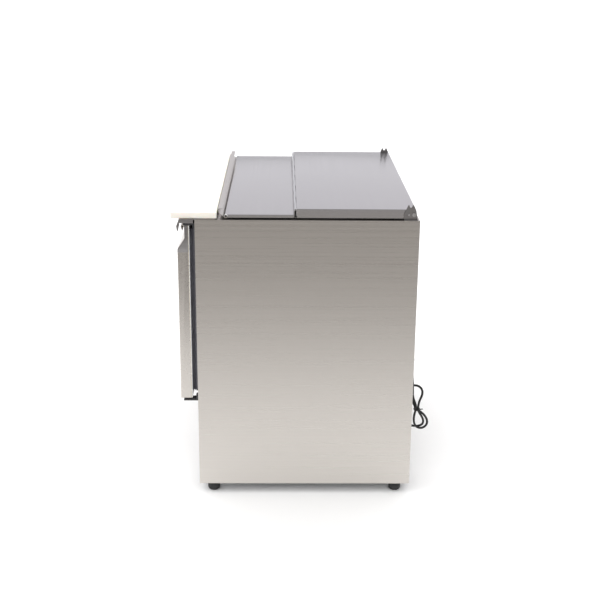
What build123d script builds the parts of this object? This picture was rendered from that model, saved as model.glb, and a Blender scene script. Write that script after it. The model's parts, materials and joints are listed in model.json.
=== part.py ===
"""Refrigerated sandwich prep table with two doors, a fold-back lid and a cutting board.

Millimetres. +X is the right-hand side seen from the front, +Y is the rear, +Z is up. The origin is
on the floor, under the middle of the box from the cutting board's front edge to the rear panel.
"""

import os
from math import cos, radians, sin, tan

from build123d import *

# ---------------------------------------------------------------- overall sizes
WIDTH = 900.0
DEPTH = 700.0  # cutting board's front edge to the rear panel
WORKTOP_Z = 850.0
FOOT_HEIGHT = 33.0
BOARD_OVERHANG = 68.0  # how far the cutting board stands in front of the body

HALF_WIDTH = WIDTH / 2
REAR_Y = DEPTH / 2
FRONT_Y = -DEPTH / 2 + BOARD_OVERHANG

# ---------------------------------------------------------------- sheet metal and general fits
SHEET = 1.2  # stainless steel sheet
HEM = 12.0  # width of a side panel's folded edges
GAP = 0.3  # clearance between pieces that move against each other
JOINT = 0.2  # clearance between fixed sheets
RUNNING = 0.05  # radial clearance of a turning fit

# ---------------------------------------------------------------- cabinet
SIDE_WALL = 46.0  # insulated side wall, with its skins
REAR_WALL = 26.0
FLOOR_Z = 300.0  # underside of the insulated floor, top of the machine compartment
FLOOR_SLAB = 40.0
LINER = 1.0
FRAME_DEPTH = 15.0  # face frame behind the doors
MULLION = 44.0
HEADER = 26.0
DECK_TURN = 25.0  # down-turned edge round the pan opening

CAVITY_X = HALF_WIDTH - SIDE_WALL
CAVITY_REAR = REAR_Y - REAR_WALL
CAVITY_Z = FLOOR_Z + FLOOR_SLAB + LINER
FRAME_X = HALF_WIDTH - HEM - JOINT
FRAME_BACK = FRONT_Y + FRAME_DEPTH
BASE_SHEET = 1.5
BASE_TOP = FOOT_HEIGHT + BASE_SHEET

# ---------------------------------------------------------------- worktop front rail and board
RAIL_REACH = 44.0  # rail in front of the body
RAIL_SHEET = 1.7
RAIL_DROP = 11.7  # height of the rail's front face
RAIL_TOP = WORKTOP_Z + RAIL_SHEET
RAIL_END = 1.5  # thickness of the end brackets
BOARD_THICK = 19.0
BOARD_DEPTH = 130.0
BOARD_HALF = HALF_WIDTH - 4.0
BOARD_Z = RAIL_TOP + GAP
BOARD_FRONT = -DEPTH / 2

# ---------------------------------------------------------------- lids
LID_HALF = HALF_WIDTH - 11.6
LID_TOP = WORKTOP_Z + 30.0
LID_SKIRT_Z = WORKTOP_Z + 4.0
REAR_LID_FRONT = 3.5
REAR_LID_REAR = REAR_Y - 11.0
FRONT_LID_TOP = WORKTOP_Z + 13.0
FRONT_LID_FRONT = BOARD_FRONT + BOARD_DEPTH + 21.0
FRONT_LID_REAR = -4.2
LID_LINING = 1.0
LID_LINING_Z = LID_TOP - 23.0
LID_BUSH_LONG = 7.0
LID_REAR_ROOM = 20.0  # empty space behind the foam, where the lid turns down over the deck
HANDLE_REACH = 18.0  # handle channel in front of the front lid
HANDLE_SHEET = 1.5
FOLD_Y = 0.0  # piano hinge axis between the lids
FOLD_Z = LID_TOP - 3.0
FOLD_PIN_R = 1.0
KNUCKLE_R = 2.5
KNUCKLES = 11
LEAF_IN = 2.0  # leaf face from the hinge axis
PIVOT_Y = REAR_Y - 17.5  # rear lid's pivot screws
PIVOT_Z = WORKTOP_Z + 15.5
PIVOT_R = 3.0
PIVOT_HEAD_R = 5.5
BRACKET_SHEET = 2.0
BRACKET_GAP = 0.8

# ---------------------------------------------------------------- doors
DOOR_GAP = 4.0  # between the two doors
DOOR_INSET = 3.0  # door edge from the cabinet's side
DOOR_BOTTOM = FLOOR_Z + 9.5
DOOR_TOP = WORKTOP_Z - 16.0
DOOR_BACK = FRONT_Y - 18.0
DOOR_FRONT = FRONT_Y - 50.3
POCKET_Y = FRONT_Y - 30.0  # back of the finger pocket
POCKET_LOW = DOOR_TOP - 70.0
POCKET_HIGH = DOOR_TOP - 39.4
LIP_REACH = 9.4
LIP_DROP = 17.0
LIP_SHEET = 1.6
DOOR_X0 = DOOR_GAP / 2
DOOR_X1 = HALF_WIDTH - DOOR_INSET
DOOR_PIVOT_X = HALF_WIDTH - 19.0
DOOR_PIVOT_Y = FRONT_Y - 24.0
DOOR_PIN_R = 3.0
BUSH_R = 5.0
BUSH_LONG = 11.5
GASKET_WIDTH = 15.0
GASKET_REACH = 15.6
GASKET_SIDE = DOOR_PIVOT_X - 3.0
GASKET_LOW = DOOR_BOTTOM + 16.0
GASKET_HIGH = DOOR_TOP - 14.0
DOOR_LINING = 2.0
DIKE = 11.0  # raised panel of the door's lining
HINGE_ARM = 4.0
HINGE_HEEL = 6.0  # fixing heel in front of the face frame
HINGE_GAP = 1.2  # between a hinge arm and the door's end

# ---------------------------------------------------------------- pans
PAN_SHEET = 0.8
PAN_DEEP = 150.0
PAN_RIM = 13.0
PAN_CORNER = 24.0
PAN_LONG = 530.0
PAN_WIDE = 325.0
SIXTH_WIDE = 162.0
SIXTH_LONG = 176.0
PAN_SPACE = 9.0  # between neighbouring pans across the table
PAN_LEFT = -(2 * PAN_WIDE + SIXTH_WIDE + 2 * PAN_SPACE) / 2
PAN_FRONT = CAVITY_REAR + PAN_RIM - 2.0 - PAN_LONG
BAR_WIDE = 22.0
BAR_HIGH = 12.0
CROSS_WIDE = 16.0
PAN_CLEAR = 2.0  # pan body to the opening's edge
OPENING_X = -PAN_LEFT - PAN_RIM + PAN_CLEAR
OPENING_FRONT = PAN_FRONT + PAN_RIM - PAN_CLEAR
OPENING_REAR = PAN_FRONT + PAN_LONG - PAN_RIM + PAN_CLEAR

# ---------------------------------------------------------------- shelves
SHELF_Z = 490.0
SHELF_WIRE = 2.5
SHELF_FRAME_R = 3.5
SHELF_INSET = 12.0
SHELF_WIRES = 12

# ---------------------------------------------------------------- evaporator
EVAP_HALF = 150.0
EVAP_DEEP = 60.0
EVAP_LOW = 430.0
EVAP_HIGH = 660.0
EVAP_FAN_R = 60.0
EVAP_SHEET = 1.2

# ---------------------------------------------------------------- machine compartment
LOUVRE_ROWS = 9
LOUVRE_LONG = 230.0
LOUVRE_HIGH = 7.0
LOUVRE_PITCH = 16.0
LOUVRE_X = 140.0  # centre of each bank of louvres from the middle
COIL_HALF = 150.0
COIL_X = -150.0
COIL_DEEP = 44.0
COIL_LOW = 60.0
COIL_HIGH = 270.0
FAN_R = 82.0
COMPRESSOR_X = 215.0
COMPRESSOR_Y = 60.0
COMPRESSOR_R = 75.0
COMPRESSOR_HIGH = 165.0
COMPRESSOR_Z = 62.0
PIPE_R = 4.0
PIPE_BEND = 14.0

# air slots of the rear panel
GRILLE_LOW = 70.0
GRILLE_HIGH = 240.0
GRILLE_SLOTS = 11
SLOT_LONG = 150.0
SLOT_HIGH = 7.0
SLOT_APART = 30.0

# ---------------------------------------------------------------- controls
PANEL_X = 335.0
PANEL_HALF = 78.0
PANEL_Z = 235.0
PANEL_TALL = 44.0
BEZEL_THICK = 3.0
BUTTON_SIZE = 9.0
BUTTON_GAP = 0.35
ROCKER_HALF_X = 9.0
ROCKER_HALF_Z = 12.0
BUTTONS = 3
DISPLAY_X = (PANEL_X - PANEL_HALF + 12, PANEL_X - PANEL_HALF + 60)
ROCKER_X = PANEL_X + PANEL_HALF - 20

# ---------------------------------------------------------------- feet
FOOT_R = 18.5
FOOT_INSET_X = 33.0
FOOT_INSET_Y = 41.0
FOOT_STEM_R = 5.0
FOOT_STEM = 28.0
FOOT_PAD = 24.0
FOOT_NECK_R = 13.0
FOOT_EDGE = 9.0  # rounding of the pad's bottom edge
FOOT_SHOULDER = 3.5
FOOT_NAMES = ("front_left", "front_right", "rear_left", "rear_right")

# ---------------------------------------------------------------- mains lead
CORD_R = 3.5
EXIT_X = 290.0
EXIT_Z = 287.5
RELIEF_LONG = 20.0
GLAND_R = 7.0
TIE = (296.0, REAR_Y + 34.0, 211.0)  # where the hank is tied
LEAD = [
    (EXIT_X, REAR_Y + RELIEF_LONG, EXIT_Z),
    (290.3, REAR_Y + 30.3, 288.0),
    (291.0, REAR_Y + 39.9, 284.2),
    (292.0, REAR_Y + 47.0, 276.6),
    (293.0, REAR_Y + 50.2, 266.8),
    (294.0, REAR_Y + 48.7, 254.9),
    (295.0, REAR_Y + 43.0, 242.1),
    (295.6, REAR_Y + 39.3, 229.4),
    (296.0, REAR_Y + 34.8, 218.0),
]
HANK_LOW = 62.0  # how far the hank hangs below its tie
COIL_MIDDLE = (-44.4, 70.2)  # middle of the hank's coil behind the table, across and up from the tie
COIL_LONG = 64.0  # half of the coil's length
COIL_WIDE = 25.5  # half of its width
COIL_THICK = 24.0
COIL_ROUND = 14.0  # how far its corners are cut off
COIL_LEAN = 36.0  # degrees from upright
PLUG_LONG = 46.0
PLUG_R = 14.0
PLUG_X = 205.0
PLUG_Y = REAR_Y + 17.0
PLUG_TOP = 285.0
PLUG_DROP = 30.0  # lead between the coil's top and the plug


# ---------------------------------------------------------------- shapes used by many pieces
def block(x0, x1, y0, y1, z0, z1):
    """Box between two corners."""
    size = Box(x1 - x0, y1 - y0, z1 - z0)
    return Pos((x0 + x1) / 2, (y0 + y1) / 2, (z0 + z1) / 2) * size


def rod_x(x0, x1, y, z, r):
    """Cylinder along X."""
    return Pos((x0 + x1) / 2, y, z) * Rot(0, 90, 0) * Cylinder(r, x1 - x0)


def rod_y(x, y0, y1, z, r):
    """Cylinder along Y."""
    return Pos(x, (y0 + y1) / 2, z) * Rot(90, 0, 0) * Cylinder(r, y1 - y0)


def rod_z(x, y, z0, z1, r):
    """Cylinder along Z."""
    return Pos(x, y, (z0 + z1) / 2) * Cylinder(r, z1 - z0)


def prism_x(points, x0, x1):
    """Outline of (Y, Z) points run along X."""
    outline = Polyline([(x0, y, z) for y, z in points], close=True)
    return extrude(make_face(outline), amount=x1 - x0, dir=(1, 0, 0))


def rounded_well(x0, x1, y0, y1, z0, z1, r):
    """Upright box with rounded corners."""
    outline = Pos((x0 + x1) / 2, (y0 + y1) / 2, z0) * RectangleRounded(x1 - x0, y1 - y0, r)
    return extrude(outline, amount=z1 - z0)


def tube_along(points, radii, r):
    """Round rod along straight runs joined by tangent arcs."""
    path = FilletPolyline(points, radius=radii)
    start = Vector(*points[0])
    section = Plane(origin=start, z_dir=Vector(*points[1]) - start) * Circle(r)
    return sweep(section, path=path)


def arc_radii(points):
    """Largest arc for each corner of a route: 0.45 of its shorter run over tan of half the turn."""
    radii = []
    for a, b, c in zip(points, points[1:], points[2:]):
        before = Vector(*b) - Vector(*a)
        after = Vector(*c) - Vector(*b)
        half_turn = radians(before.get_angle(after)) / 2
        radii.append(0.45 * min(before.length, after.length) / tan(half_turn))
    return radii


def flipped(shape):
    """The same piece on the other side of the table."""
    return mirror(shape, Plane.YZ)


def pair(shape):
    """The right-hand piece and its mirror image."""
    return Compound(children=[shape, flipped(shape)])


# ---------------------------------------------------------------- cabinet shell
def side_panel():
    """Right-hand outer side: a flat sheet with folded front, rear and top edges."""
    x1 = HALF_WIDTH
    web = block(x1 - SHEET, x1, FRONT_Y, REAR_Y, FOOT_HEIGHT, WORKTOP_Z)
    front = block(x1 - HEM, x1, FRONT_Y, FRONT_Y + SHEET, FOOT_HEIGHT, WORKTOP_Z)
    rear = block(x1 - HEM, x1, REAR_Y - SHEET, REAR_Y, FOOT_HEIGHT, WORKTOP_Z)
    top = block(x1 - HEM, x1, FRONT_Y, REAR_Y, WORKTOP_Z - SHEET, WORKTOP_Z)
    return web + front + rear + top


def rear_panel():
    """Rear sheet, with two banks of air slots and the hole of the lead's gland."""
    y0 = REAR_Y - SHEET
    sheet = block(-FRAME_X, FRAME_X, y0, REAR_Y, BASE_TOP + JOINT, WORKTOP_Z - SHEET - JOINT)
    sheet -= rod_y(EXIT_X, y0 - 1, REAR_Y + 1, EXIT_Z, GLAND_R)
    pitch = (GRILLE_HIGH - GRILLE_LOW) / (GRILLE_SLOTS - 1)
    for row in range(GRILLE_SLOTS):
        z = GRILLE_LOW + pitch * row
        for x0 in (-SLOT_LONG - SLOT_APART / 2, SLOT_APART / 2):
            sheet -= block(x0, x0 + SLOT_LONG, y0 - 1, REAR_Y + 1, z - SLOT_HIGH / 2, z + SLOT_HIGH / 2)
    return sheet


def base_pan():
    """Bottom tray that carries the machine and the levelling feet."""
    half = HALF_WIDTH - SHEET - JOINT
    y0, y1 = FRONT_Y + SHEET + JOINT, REAR_Y - SHEET - JOINT
    tray = block(-half, half, y0, y1, FOOT_HEIGHT, BASE_TOP)
    tray += block(-FRAME_X + 2, FRAME_X - 2, y0, y0 + BASE_SHEET, FOOT_HEIGHT, BASE_TOP + 18)
    tray += block(-FRAME_X + 2, FRAME_X - 2, y1 - BASE_SHEET, y1, FOOT_HEIGHT, BASE_TOP + 14)
    for x, y in foot_places():
        tray -= rod_z(x, y, FOOT_HEIGHT - 1, BASE_TOP + 1, FOOT_STEM_R + RUNNING)
    return tray


def foot_nuts():
    """Threaded bushes riveted into the base over each foot."""
    nuts = []
    for x, y in foot_places():
        nut = rod_z(x, y, BASE_TOP, BASE_TOP + 12, 9.0)
        nuts.append(nut - rod_z(x, y, BASE_TOP - 1, BASE_TOP + 13, FOOT_STEM_R + RUNNING))
    return nuts


def cabinet_insulation():
    """Foam in the sides, the rear and the floor."""
    y0 = FRAME_BACK + JOINT
    y1 = REAR_Y - SHEET - JOINT
    z1 = WORKTOP_Z - SHEET - JOINT
    inner = CAVITY_X + JOINT + LINER
    outer = HALF_WIDTH - SHEET - JOINT
    right = block(inner, outer, y0, y1, FLOOR_Z, z1 - DECK_TURN)
    rear = block(-inner + JOINT, inner - JOINT, CAVITY_REAR + LINER + JOINT, y1, FLOOR_Z, z1 - DECK_TURN)
    floor_y1 = CAVITY_REAR + LINER
    floor = block(-inner + JOINT, inner - JOINT, y0, floor_y1, FLOOR_Z, FLOOR_Z + FLOOR_SLAB - JOINT)
    return Compound(children=[right, flipped(right), rear, floor])


def inner_liner():
    """Stainless lining of the cold space, open at the front and under the pans."""
    y0 = FRAME_BACK + JOINT
    z0 = FLOOR_Z + FLOOR_SLAB
    z1 = WORKTOP_Z - SHEET - DECK_TURN - 2 * JOINT
    outer = block(-CAVITY_X - LINER, CAVITY_X + LINER, y0, CAVITY_REAR + LINER, z0, z1)
    return outer - block(-CAVITY_X, CAVITY_X, y0 - 1, CAVITY_REAR, CAVITY_Z, z1 + 1)


def front_frame():
    """Face frame that the door gaskets close on, with a mullion between the doors."""
    z1 = WORKTOP_Z - SHEET - JOINT
    frame = block(-FRAME_X, FRAME_X, FRONT_Y, FRAME_BACK, FLOOR_Z, z1)
    hole = block(MULLION / 2, CAVITY_X, FRONT_Y - 1, FRAME_BACK + 1, CAVITY_Z, z1 - HEADER)
    return frame - hole - flipped(hole)


def worktop_deck():
    """Top sheet with the pan opening and its down-turned edge."""
    z1 = WORKTOP_Z
    x1 = HALF_WIDTH - HEM - JOINT
    y1 = REAR_Y - SHEET - JOINT
    deck = block(-x1, x1, FRONT_Y + JOINT, y1, z1 - SHEET, z1)
    turn_z = z1 - DECK_TURN
    deck += block(
        -OPENING_X - SHEET, OPENING_X + SHEET, OPENING_FRONT - SHEET, OPENING_REAR + SHEET, turn_z, z1
    )
    return deck - block(
        -OPENING_X, OPENING_X, OPENING_FRONT, OPENING_REAR, turn_z - 1, z1 + 1
    )


def front_rail():
    """Folded front edge of the worktop, which carries the cutting board."""
    y0 = FRONT_Y - RAIL_REACH
    z0 = RAIL_TOP - RAIL_DROP
    half = HALF_WIDTH - RAIL_END
    top = block(-half, half, y0, BOARD_FRONT + BOARD_DEPTH - 4, WORKTOP_Z, RAIL_TOP)
    face = block(-half, half, y0, y0 + RAIL_SHEET, z0, RAIL_TOP)
    under = block(-half, half, y0, y0 + 34, z0, z0 + RAIL_SHEET)
    return top + face + under


def board_bracket():
    """Right-hand end plate of the front rail, with its downward nose."""
    y0 = FRONT_Y - RAIL_REACH
    z1 = RAIL_TOP
    outline = [
        (y0 + 40, z1 - RAIL_DROP),
        (y0 + 40, z1),
        (y0, z1),
        (y0 - 7.5, z1 - 20),
        (y0 - 5.8, z1 - 34),
        (y0 - 2.5, z1 - 34),
        (y0 + 1.6, z1 - 16),
        (y0 + 1.6, z1 - RAIL_DROP),
    ]
    return prism_x(outline, HALF_WIDTH - RAIL_END, HALF_WIDTH)


def cutting_board():
    """White polyethylene board that lifts off the front rail."""
    board = block(
        -BOARD_HALF, BOARD_HALF, BOARD_FRONT, BOARD_FRONT + BOARD_DEPTH, BOARD_Z, BOARD_Z + BOARD_THICK
    )
    return fillet(board.edges(), 2.0)


# ---------------------------------------------------------------- doors
def door_outline(inset):
    """Side outline of a door in (Y, Z), drawn in by a skin's thickness."""
    slope = inset * 0.41
    return [
        (DOOR_BACK + (1 if inset else 0), DOOR_BOTTOM + inset),
        (DOOR_FRONT + inset, DOOR_BOTTOM + inset),
        (DOOR_FRONT + inset, POCKET_LOW - slope),
        (POCKET_Y + inset, POCKET_HIGH - slope),
        (POCKET_Y + inset, DOOR_TOP - inset),
        (DOOR_BACK + (1 if inset else 0), DOOR_TOP - inset),
    ]


def door_bush_holes(r):
    """Bores for both pivot bushes."""
    low = rod_z(DOOR_PIVOT_X, DOOR_PIVOT_Y, DOOR_BOTTOM - 1, DOOR_BOTTOM + BUSH_LONG, r)
    high = rod_z(DOOR_PIVOT_X, DOOR_PIVOT_Y, DOOR_TOP - BUSH_LONG, DOOR_TOP + 1, r)
    return low + high


def door_skin():
    """Outer sheet of the right door, with the finger pocket and its curled lip."""
    shell = prism_x(door_outline(0), DOOR_X0, DOOR_X1)
    shell -= prism_x(door_outline(SHEET), DOOR_X0 + SHEET, DOOR_X1 - SHEET)
    lip = [
        (POCKET_Y + 1, DOOR_TOP),
        (POCKET_Y - LIP_REACH + 3, DOOR_TOP),
        (POCKET_Y - LIP_REACH, DOOR_TOP - 3),
        (POCKET_Y - LIP_REACH + 3.8, DOOR_TOP - LIP_DROP),
        (POCKET_Y - LIP_REACH + 3.8 + LIP_SHEET, DOOR_TOP - LIP_DROP + 0.4),
        (POCKET_Y - LIP_REACH + LIP_SHEET + 0.3, DOOR_TOP - 3.8),
        (POCKET_Y - LIP_REACH + 3.6, DOOR_TOP - LIP_SHEET),
        (POCKET_Y + 1, DOOR_TOP - LIP_SHEET),
    ]
    return shell + prism_x(lip, DOOR_X0, DOOR_X1) - door_bush_holes(BUSH_R)


def door_core():
    """Foam that fills the door's skin."""
    cut = block(DOOR_X0, DOOR_X1, DOOR_BACK, DOOR_BACK + 5, DOOR_BOTTOM, DOOR_TOP)
    core = prism_x(door_outline(SHEET), DOOR_X0 + SHEET, DOOR_X1 - SHEET) - cut
    return core - door_bush_holes(BUSH_R)


def door_bushes():
    """Nylon bushes that turn on the hinge pins."""
    bore = DOOR_PIN_R + RUNNING
    x, y = DOOR_PIVOT_X, DOOR_PIVOT_Y
    low = rod_z(x, y, DOOR_BOTTOM, DOOR_BOTTOM + BUSH_LONG, BUSH_R)
    high = rod_z(x, y, DOOR_TOP - BUSH_LONG, DOOR_TOP, BUSH_R)
    low -= rod_z(x, y, DOOR_BOTTOM - 1, DOOR_BOTTOM + BUSH_LONG + 1, bore)
    high -= rod_z(x, y, DOOR_TOP - BUSH_LONG - 1, DOOR_TOP + 1, bore)
    return [low, high]


def door_lining():
    """Inner panel of the door, with the raised dike inside the gasket."""
    y0 = DOOR_BACK
    sheet = block(DOOR_X0 + 1, DOOR_X1 - 1, y0, y0 + DOOR_LINING, DOOR_BOTTOM + 1, DOOR_TOP - 1)
    edge = GASKET_WIDTH + 3
    x0, x1 = DOOR_X0 + 4 + edge, GASKET_SIDE - edge
    z0, z1 = GASKET_LOW + edge, GASKET_HIGH - edge
    dike = block(x0, x1, y0 + DOOR_LINING, y0 + DOOR_LINING + DIKE, z0, z1)
    dike = fillet(dike.edges().filter_by(Axis.Y), 12.0)
    return sheet + dike


def door_gasket():
    """Magnetic bellows gasket: three bands of different width round the door."""
    y0 = DOOR_BACK + DOOR_LINING
    bands = ((0.0, 0.35, 0.0), (0.35, 0.6, 3.0), (0.6, 1.0, 1.0))
    gasket = None
    for start, end, inset in bands:
        x0, x1 = DOOR_X0 + 4 + inset, GASKET_SIDE - inset
        z0, z1 = GASKET_LOW + inset, GASKET_HIGH - inset
        wide = GASKET_WIDTH - 2 * inset
        ya, yb = y0 + GASKET_REACH * start, y0 + GASKET_REACH * end
        ring = block(x0, x1, ya, yb, z0, z1)
        ring -= block(x0 + wide, x1 - wide, ya - 1, yb + 1, z0 + wide, z1 - wide)
        gasket = ring if gasket is None else gasket + ring
    return gasket


def lower_hinge():
    """Right-hand bottom hinge: a plate under the door with its pin, and a fixing block."""
    x0, x1 = DOOR_PIVOT_X - 8, HALF_WIDTH - 1
    z1 = DOOR_BOTTOM - HINGE_GAP
    arm = block(x0, x1, DOOR_PIVOT_Y - 17, FRONT_Y, z1 - HINGE_ARM - 1, z1)
    heel = block(x0, x1, FRONT_Y - HINGE_HEEL, FRONT_Y, z1 - HINGE_ARM - 1, z1 + 9)
    pin = rod_z(DOOR_PIVOT_X, DOOR_PIVOT_Y, z1 - 1, DOOR_BOTTOM + BUSH_LONG - 2, DOOR_PIN_R)
    head = rod_z(DOOR_PIVOT_X, DOOR_PIVOT_Y, z1 - HINGE_ARM - 4, z1 - HINGE_ARM, 5.5)
    return arm + heel + pin + head


def upper_hinge():
    """Right-hand top hinge: a plate over the door with its pin, and a fixing heel."""
    x0, x1 = DOOR_PIVOT_X - 8, HALF_WIDTH - 1
    z0 = DOOR_TOP + HINGE_GAP
    arm = block(x0, x1, DOOR_PIVOT_Y - 9, FRONT_Y, z0, z0 + HINGE_ARM)
    heel = block(x1 - 5, x1, FRONT_Y - HINGE_HEEL, FRONT_Y, DOOR_TOP - 9, z0 + HINGE_ARM)
    pin = rod_z(DOOR_PIVOT_X, DOOR_PIVOT_Y, DOOR_TOP - BUSH_LONG + 2, z0 + 1, DOOR_PIN_R)
    return arm + heel + pin


# ---------------------------------------------------------------- lids
def rear_lid_shell():
    """Sheet shell of the hinged rear lid, notched in front of its pivot brackets."""
    shell = block(-LID_HALF, LID_HALF, REAR_LID_FRONT, REAR_LID_REAR, LID_SKIRT_Z, LID_TOP)
    shell -= block(
        -LID_HALF + SHEET,
        LID_HALF - SHEET,
        REAR_LID_FRONT + SHEET,
        REAR_LID_REAR - SHEET,
        LID_SKIRT_Z - 1,
        LID_TOP - SHEET,
    )
    notch_y = PIVOT_Y - 27
    notch = [
        (notch_y - 13, LID_SKIRT_Z - 1),
        (notch_y, LID_SKIRT_Z + 13),
        (notch_y + 2, LID_SKIRT_Z + 13),
        (notch_y + 2, LID_SKIRT_Z - 1),
    ]
    shell -= prism_x(notch, -LID_HALF - 1, LID_HALF + 1)
    return shell - rod_x(-LID_HALF - 1, LID_HALF + 1, PIVOT_Y, PIVOT_Z, PIVOT_R + RUNNING)


def lid_filling(z0, z1):
    """Slab between the rear lid's skirts, clear of its pivot bushes."""
    x = LID_HALF - SHEET - LID_BUSH_LONG - 3
    return block(-x, x, REAR_LID_FRONT + SHEET, REAR_LID_REAR - SHEET - LID_REAR_ROOM, z0, z1)


def rear_lid_foam():
    """Insulation of the rear lid."""
    return lid_filling(LID_LINING_Z + LID_LINING, LID_TOP - SHEET)


def rear_lid_lining():
    """Sheet that closes the rear lid's insulation from below."""
    return lid_filling(LID_LINING_Z, LID_LINING_Z + LID_LINING)


def lid_pivot_bushes():
    """Nylon bushes in the rear lid that turn on the pivot screws."""
    inside = LID_HALF - SHEET
    bush = rod_x(inside - LID_BUSH_LONG, inside, PIVOT_Y, PIVOT_Z, PIVOT_R + 2)
    bush -= rod_x(inside - LID_BUSH_LONG - 1, inside + 1, PIVOT_Y, PIVOT_Z, PIVOT_R + RUNNING)
    return [bush, flipped(bush)]


def lid_bracket():
    """Right-hand pivot bracket of the rear lid: a forked plate with a foot on the worktop."""
    x0 = LID_HALF + BRACKET_GAP
    x1 = x0 + BRACKET_SHEET
    y = PIVOT_Y
    z = WORKTOP_Z
    outline = [
        (y - 27.5, z),
        (y + 11.5, z),
        (y + 6.5, z + 27),
        (y - 0.5, z + 43),
        (y - 4, z + 43),
        (y - 6.5, z + 36),
        (y - 11.5, z + 36),
        (y - 14, z + 43),
        (y - 16.5, z + 43),
        (y - 27, z + 18),
    ]
    plate = prism_x(outline, x0, x1)
    foot = block(x1 - 0.5, HALF_WIDTH - 1, y - 27.5, y + 11.5, z, z + 1.5)
    return plate + foot - rod_x(x0 - 1, x1 + 1, y, PIVOT_Z, PIVOT_R)


def pivot_screws():
    """Screws that the rear lid turns on, with the small stop rivets beside them."""
    x1 = LID_HALF + BRACKET_GAP + BRACKET_SHEET
    screw = rod_x(LID_HALF - SHEET - LID_BUSH_LONG - 0.8, x1, PIVOT_Y, PIVOT_Z, PIVOT_R)
    head = rod_x(x1, x1 + 3, PIVOT_Y, PIVOT_Z, PIVOT_HEAD_R)
    head -= block(x1 + 2, x1 + 4, PIVOT_Y - 4, PIVOT_Y + 4, PIVOT_Z - 0.6, PIVOT_Z + 0.6)
    stop = rod_x(x1, x1 + 2, PIVOT_Y - 14, PIVOT_Z, 2.8)
    right = [screw + head, stop]
    return Compound(children=right + [flipped(piece) for piece in right])


def front_lid_shell():
    """Front lid: a shallow sheet tray with an upturned rear flange."""
    y0, y1 = FRONT_LID_FRONT, FRONT_LID_REAR
    shell = block(-LID_HALF, LID_HALF, y0, y1 + SHEET, LID_SKIRT_Z, FRONT_LID_TOP)
    shell -= block(
        -LID_HALF + SHEET, LID_HALF - SHEET, y0 + SHEET, y1, LID_SKIRT_Z - 1, FRONT_LID_TOP - SHEET
    )
    flange_top = FOLD_Z - 3.5
    return shell + block(-LID_HALF, LID_HALF, y1, y1 + SHEET, LID_SKIRT_Z, flange_top)


def lid_handle():
    """Open channel along the front lid's front edge, which is its handle."""
    y1 = FRONT_LID_FRONT
    y0 = y1 - HANDLE_REACH
    t = HANDLE_SHEET
    low, top = LID_SKIRT_Z + 1.5, FRONT_LID_TOP + 17
    outline = [
        (y1, low),
        (y0 + 5.8, low + 7.5),
        (y0, top - 7),
        (y0, top - 2),
        (y0 + 2, top),
        (y1 - 4.5, top),
        (y1 - 4.5, top - t),
        (y0 + 2.6, top - t),
        (y0 + t, top - 2.6),
        (y0 + t, top - 6.8),
        (y0 + 6.9, low + 8.8),
        (y1, low + t + 0.3),
    ]
    return prism_x(outline, -LID_HALF, LID_HALF)


def knuckle_spans(first):
    """X spans of every second knuckle of the piano hinge."""
    long = 2 * (LID_HALF - 3) / KNUCKLES
    start = -LID_HALF + 3
    return [(start + long * i + GAP, start + long * (i + 1) - GAP) for i in range(first, KNUCKLES, 2)]


def hinge_leaf(side, leaf, knuckles, low):
    """Leaf of the piano hinge: side is -1 for the front lid's and 1 for the rear lid's."""
    near, far = side * LEAF_IN, side * (LEAF_IN + leaf)
    y0, y1 = min(near, far) + FOLD_Y, max(near, far) + FOLD_Y
    strip = block(-LID_HALF + 3, LID_HALF - 3, y0, y1, low, FOLD_Z - 3.5)
    for x0, x1 in knuckles:
        strip += block(x0, x1, y0, y1, FOLD_Z - 4, FOLD_Z)
        strip += rod_x(x0, x1, FOLD_Y, FOLD_Z, KNUCKLE_R)
    return strip - rod_x(-LID_HALF, LID_HALF, FOLD_Y, FOLD_Z, FOLD_PIN_R + RUNNING)


def hinge_leaf_rear():
    """Piano hinge leaf on the rear lid's front face."""
    return hinge_leaf(1, REAR_LID_FRONT - LEAF_IN, knuckle_spans(0), LID_TOP - 20)


def hinge_leaf_front():
    """Piano hinge leaf on the front lid's upturned flange."""
    return hinge_leaf(-1, -FRONT_LID_REAR - SHEET - LEAF_IN, knuckle_spans(1), LID_TOP - 18)


def hinge_pin():
    """Pin of the piano hinge."""
    return rod_x(-LID_HALF + 3, LID_HALF - 3, FOLD_Y, FOLD_Z, FOLD_PIN_R)


def handle_rivets():
    """Rivets through the front lid's side skirts at the ends of its handle."""
    y, z = FRONT_LID_FRONT + 4, LID_SKIRT_Z + 3.5
    rivet = rod_x(LID_HALF, LID_HALF + 1.5, y, z, 5.0)
    rivet -= rod_x(LID_HALF + 0.7, LID_HALF + 2, y, z, 2.0)
    return [rivet, flipped(rivet)]


def lid_bumpers():
    """Rubber buffers under the front lid's corners."""
    y = FRONT_LID_FRONT + 6
    z1 = FRONT_LID_TOP - SHEET
    bumper = rod_z(LID_HALF - 9, y + 6, WORKTOP_Z + GAP, z1, 5.0)
    return Compound(children=[bumper, flipped(bumper)])


# ---------------------------------------------------------------- pans and shelves
def pan(x0, wide, y0, long):
    """Steel food pan hanging by its rim."""
    rim = block(x0, x0 + wide, y0, y0 + long, WORKTOP_Z, WORKTOP_Z + PAN_SHEET)
    rim = fillet(rim.edges().filter_by(Axis.Z), 8.0)
    a, b = x0 + PAN_RIM, x0 + wide - PAN_RIM
    c, d = y0 + PAN_RIM, y0 + long - PAN_RIM
    z0 = WORKTOP_Z - PAN_DEEP
    t = PAN_SHEET
    body = rounded_well(a, b, c, d, z0, WORKTOP_Z, PAN_CORNER)
    hollow = rounded_well(a + t, b - t, c + t, d - t, z0 + t, WORKTOP_Z + 2, PAN_CORNER - t)
    return rim + body - hollow


def full_pan(index):
    """One of the two full-size pans."""
    return pan(PAN_LEFT + index * (PAN_WIDE + PAN_SPACE), PAN_WIDE, PAN_FRONT, PAN_LONG)


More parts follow.
